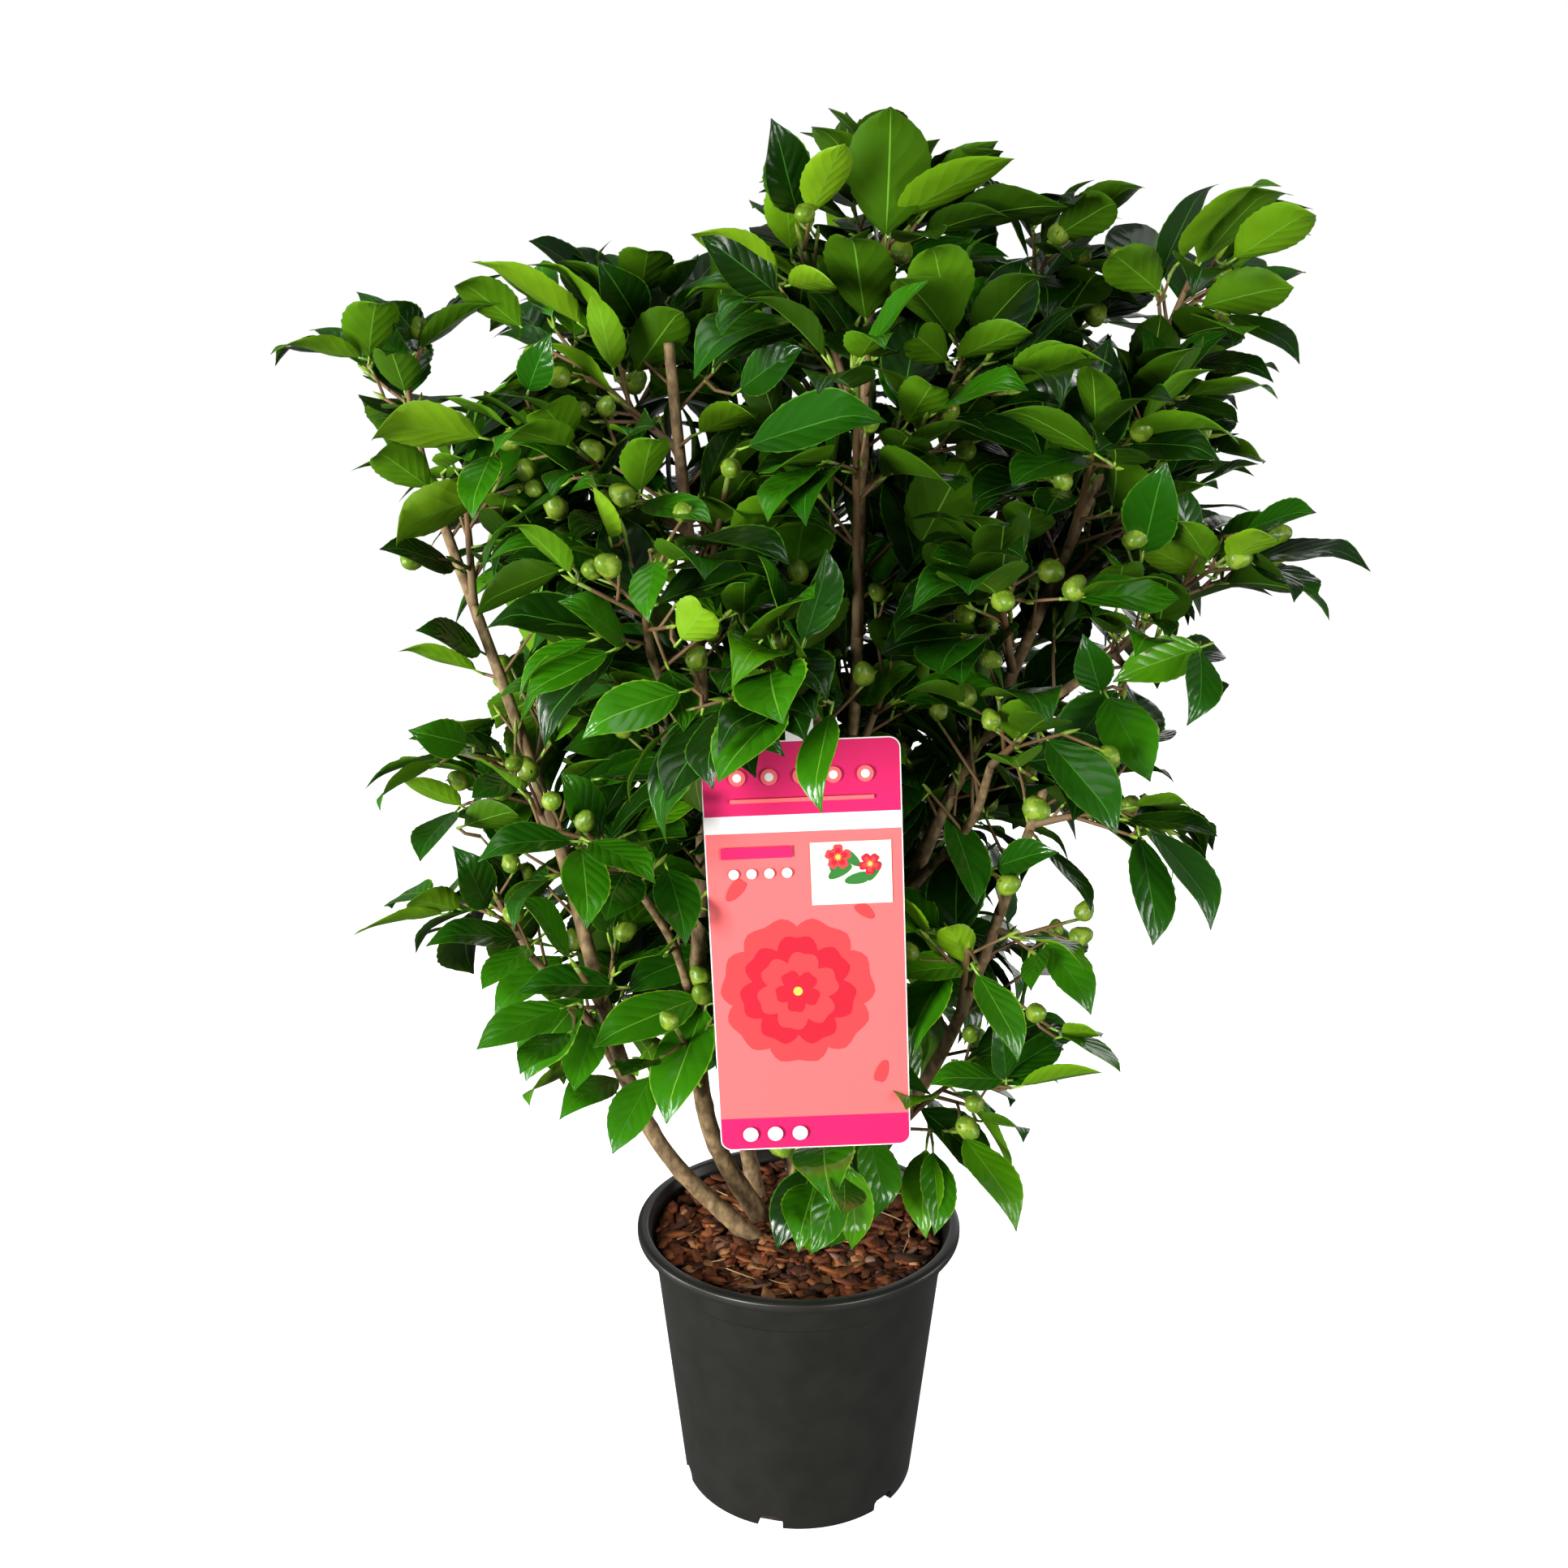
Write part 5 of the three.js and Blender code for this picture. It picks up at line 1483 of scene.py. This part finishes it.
FIBRE_COUNT = 34
FIBRE_AREA = 74
FIBRE_LIMIT = 81
FIBRE_LIFT = (1.2, 2.6)
FIBRE_LENGTH, FIBRE_LEAN, FIBRE_BOW = (9, 26), (-0.12, 0.3), (-1.2, 1.2)
FIBRE_RADIUS = 0.35
fibres = Bundle()
for _ in range(FIBRE_COUNT):
    radius, angle, yaw = FIBRE_AREA * math.sqrt(draw()), draw() * 2 * math.pi, draw() * 2 * math.pi
    length, lean, bow = [lerp(*ends, draw()) for ends in (FIBRE_LENGTH, FIBRE_LEAN, FIBRE_BOW)]
    t = np.linspace(-0.5, 0.5, 7)
    line = np.stack([t * length, bow * (1 - 4 * t**2), FIBRE_LIFT[0] + (t + 0.5) * length * lean], 1)
    line = line @ turn_matrix(yaw, 0, 0).T
    line += (radius * math.cos(angle), radius * math.sin(angle), soil_height(radius) + FIBRE_LIFT[1])
    if np.linalg.norm(line[:, :2], axis=1).max() < FIBRE_LIMIT:
        fibres.add(*tube(line, [FIBRE_RADIUS] * len(line), 4), 0)
fibres.piece("mulch_fibres", [STRAW], "mulch")

# ---------------------------------------------------------------- card
CARD_GLOSS = (0.32, 0.4, 0.1)
CARD_WHITE = plain("card_white", (0.82, 0.8, 0.78), *CARD_GLOSS)
INKS = (
    ("card_crimson", (0.62, 0.012, 0.11)), ("card_cream", (0.8, 0.72, 0.58)),
    ("card_coral", (0.74, 0.05, 0.055)), ("card_rose", (0.8, 0.14, 0.14)), ("card_red", (0.5, 0.012, 0.03)),
    ("card_gold", (0.8, 0.5, 0.08)), ("card_leaf", (0.03, 0.17, 0.03)), ("card_white_ink", (0.82, 0.8, 0.78)),
)
CARD_LOOKS = [plain(*ink_row, *CARD_GLOSS) for ink_row in INKS]
CRIMSON, CREAM, CORAL, ROSE, RED, GOLD, GREEN, WHITE = range(len(INKS))
# The lowest shape of the print lies this far before the card, and each next one a step further.
INK_LIFT = 0.03
INK_STEP = 0.02
# The print ends this far inside the card's edge.
BLEED = 0.6
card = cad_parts["label"]
card.data.materials.clear()
card.data.materials.append(CARD_WHITE)
card_top = -LABEL["strap"]
card_bottom = card_top - LABEL["height"]
print_low, print_high = card_bottom + BLEED, card_top - BLEED
half_card = LABEL["width"] / 2
lean_cos, lean_sin = math.cos(LABEL["lean"]), math.sin(LABEL["lean"])
ink = Bundle()


def print_shape(outline, look):
    """One filled shape of the card's print, a hair in front of the one before; star-like from its middle."""
    outline = np.array(outline, float)
    if np.cross(outline[1] - outline[0], outline[2] - outline[1]) < 0:
        outline = outline[::-1]
    points = np.concatenate([outline, outline.mean(0)[None]])
    x = eye[0] + points[:, 0] * lean_cos - points[:, 1] * lean_sin
    z = eye[2] + points[:, 0] * lean_sin + points[:, 1] * lean_cos
    lift = INK_LIFT + INK_STEP * (len(ink.faces) + 1)
    y = np.full(len(points), eye[1] - LABEL["thick"] / 2 - lift)
    count = len(outline)
    ring = np.arange(count)
    faces = np.stack([ring, (ring + 1) % count, np.full(count, count)], 1)
    ink.add(np.stack([x, y, z], 1), faces, look)


# Fullness of a petal near its foot, and depth and width of the notch in its tip.
PETAL = {"foot": 0.62, "notch": 0.07, "notch_width": 0.28}


def card_rows(low, high):
    """The card's outline between two heights, with its rounded corners."""
    corner = LABEL["corner"] - BLEED
    edge = half_card - BLEED
    bend = corner * (1 - np.cos(np.linspace(0, math.pi / 2, 7)))
    levels = {low, high, *(print_low + bend), *(print_high - bend)}
    heights = [level for level in sorted(levels) if low <= level <= high]
    inset = []
    for height in heights:
        depth = max(0, corner - (print_high - height), corner - (height - print_low))
        inset.append(corner - math.sqrt(max(0, corner**2 - depth**2)))
    right = [(edge - d, h) for d, h in zip(inset, heights)]
    return right + [(-x, h) for x, h in right[::-1]]


def petal(cx, cy, angle, length, width, look):
    """A rounded petal with a notched tip, from its foot at the given point."""
    t = np.linspace(0, math.pi, 15)
    share = (1 - np.cos(t)) / 2
    half = width * np.sin(t) ** 0.8 * lerp(PETAL["foot"], 1, share)
    dent = length * PETAL["notch"] * np.exp(-(((t - math.pi) / PETAL["notch_width"]) ** 2))
    sides = [(s - n, h) for s, n, h in zip(length * share, dent, half)]
    outline = sides[:-1] + [(s, -h) for s, h in sides[::-1]]
    cos, sin = math.cos(angle), math.sin(angle)
    print_shape([(cx + x * cos - y * sin, cy + x * sin + y * cos) for x, y in outline], look)


def disc(cx, cy, radius, look, points=20):
    angles = circle(points)
    print_shape(np.stack([cx + radius * np.cos(angles), cy + radius * np.sin(angles)], 1), look)


def whorl(cx, cy, count, turn, length, width, look):
    """Petals spread evenly round a middle."""
    for angle in turn + circle(count):
        petal(cx, cy, angle, length, width, look)


def blossom(cx, cy, size, turn, outer, inner):
    whorl(cx, cy, 5, turn, size, size * 0.42, outer)
    whorl(cx, cy, 5, turn, size * 0.72, size * 0.24, inner)
    disc(cx, cy, size * 0.2, GOLD)
    for angle in turn + circle(9):
        disc(cx + size * 0.27 * math.cos(angle), cy + size * 0.27 * math.sin(angle), size * 0.035, GOLD, 8)


def panel(left, low, right, high, look):
    print_shape([(left, low), (right, low), (right, high), (left, high)], look)


# Depth of the head, of the head with the white stripe under it, and height of the foot.
HEAD, STRIPE, FOOT = 38, 47, 18
print_shape(card_rows(print_low, print_high), CRIMSON)
print_shape(card_rows(card_top - STRIPE, card_top - HEAD), WHITE)
print_shape(card_rows(card_bottom + FOOT, card_top - STRIPE), ROSE)
# A great blossom low on the field, a smaller one above it, and sprigs on a cream panel.
GREAT = (-6, -150)
whorl(*GREAT, 7, 0.2, 41, 19, CORAL)
whorl(*GREAT, 7, 0.65, 31, 12.5, RED)
whorl(*GREAT, 6, 0.3, 22, 9.5, CORAL)
whorl(*GREAT, 5, 0.8, 12, 5.5, RED)
disc(*GREAT, 2.4, GOLD)
for cx, cy, angle, length in ((34, -112, 2.4, 12), (-40, -100, 0.9, 14), (38, -190, -1.9, 13)):
    petal(cx, cy, angle, length, length * 0.3, CORAL)
panel(3, card_top - 86, half_card - 6, card_top - 53, CREAM)
for cx, cy, angle, length in (
    (12, -90, 0.6, 14), (14, -87, 1.4, 13), (20, -92, 0.2, 13), (28, -84, 2.4, 12), (32, -92, 1.1, 12),
):
    petal(cx, cy, angle, length, length * 0.28, GREEN)
blossom(17, -79, 7, 0.3, CORAL, RED)
blossom(33, -83, 6, 0.9, RED, CORAL)
panel(-half_card + 8, card_top - 60, -6, card_top - 54, CRIMSON)
for i in range(4):
    disc(-36 + 9 * i, card_top - 68, 2.6, WHITE)
for i in range(5):
    disc(-32 + 16 * i, card_top - 18, 4.2, ROSE)
    disc(-32 + 16 * i, card_top - 18, 2.2, WHITE)
panel(-half_card + 14, card_top - 31, half_card - 14, card_top - 29, ROSE)
for i in range(3):
    disc(-34 + 13 * i, card_bottom + 9.5, 4, WHITE)
ink.piece("card_print", CARD_LOOKS, "label", smooth=False)

# ---------------------------------------------------------------- floor, light and camera
FLOOR_GLOW = 0.93
AMBIENT = 0.12
FLOOR = plain("floor", (0.9, 0.9, 0.9), 0.9)
floor_shader = FLOOR.node_tree.nodes["Principled BSDF"]
floor_shader.inputs["Emission Color"].default_value = (1, 1, 1, 1)
floor_shader.inputs["Emission Strength"].default_value = FLOOR_GLOW
bpy.ops.mesh.primitive_plane_add(size=30, location=(0, 0, 0))
floor = bpy.context.object
floor.name = "floor"
floor.data.materials.append(FLOOR)
floor.visible_diffuse = False
floor.visible_glossy = False

world = bpy.data.worlds.new("studio")
world.use_nodes = True
# The studio's white backdrop is bright to look at and lights the plant softly.
world_nodes, world_links = world.node_tree.nodes, world.node_tree.links
backdrop = world_nodes["Background"]
backdrop.inputs["Color"].default_value = (1, 1, 1, 1)
backdrop.inputs["Strength"].default_value = 1.0
ambient = world_nodes.new("ShaderNodeBackground")
ambient.inputs["Color"].default_value = (1, 1, 1, 1)
ambient.inputs["Strength"].default_value = AMBIENT
seen = world_nodes.new("ShaderNodeLightPath")
either = world_nodes.new("ShaderNodeMixShader")
world_links.new(seen.outputs["Is Camera Ray"], either.inputs["Fac"])
world_links.new(ambient.outputs["Background"], either.inputs[1])
world_links.new(backdrop.outputs["Background"], either.inputs[2])
world_links.new(either.outputs["Shader"], world_nodes["World Output"].inputs["Surface"])
scene = bpy.context.scene
scene.world = world
scene.view_settings.view_transform = "Standard"
LIGHTS_AIM = np.array([0, 0, 0.42])


def soft_box(name, location, size, power):
    data = bpy.data.lights.new(name, "AREA")
    data.shape = "RECTANGLE"
    data.size, data.size_y = size
    data.energy = power
    light = bpy.data.objects.new(name, data)
    scene.collection.objects.link(light)
    light.location = location
    aim = LIGHTS_AIM - np.array(location)
    light.rotation_euler = (
        math.atan2(math.hypot(aim[0], aim[1]), -aim[2]), 0, math.atan2(aim[1], aim[0]) - math.pi / 2
    )


# name, place and size in metres, power in watts
for light_row in (
    ("key_left", (-1.4, -1.7, 0.52), (0.6, 1.0), 88),
    ("fill_right", (1.3, -1.7, 0.45), (0.6, 1.1), 33),
    ("side_left", (-1.6, -0.1, 0.25), (0.4, 1.2), 27),
    ("side_right", (1.6, 0.1, 0.25), (0.3, 1.2), 10),
    ("top", (-0.2, -0.2, 2.1), (1.2, 1.2), 8),
    ("back", (0.4, 2.0, 0.5), (1.8, 1.4), 9),
):
    soft_box(*light_row)

CAMERA = {"pitch": 0.236, "focal_px": 1981, "frame_px": 1932, "sensor": 36}
camera_data = bpy.data.cameras.new("camera")
camera_data.sensor_width = CAMERA["sensor"]
camera_data.lens = CAMERA["focal_px"] / CAMERA["frame_px"] * CAMERA["sensor"]
camera = bpy.data.objects.new("camera", camera_data)
scene.collection.objects.link(camera)
camera.location = VIEWER * MM
camera.rotation_euler = (math.pi / 2 - CAMERA["pitch"], 0, 0)
scene.camera = camera

bpy.context.view_layer.update()
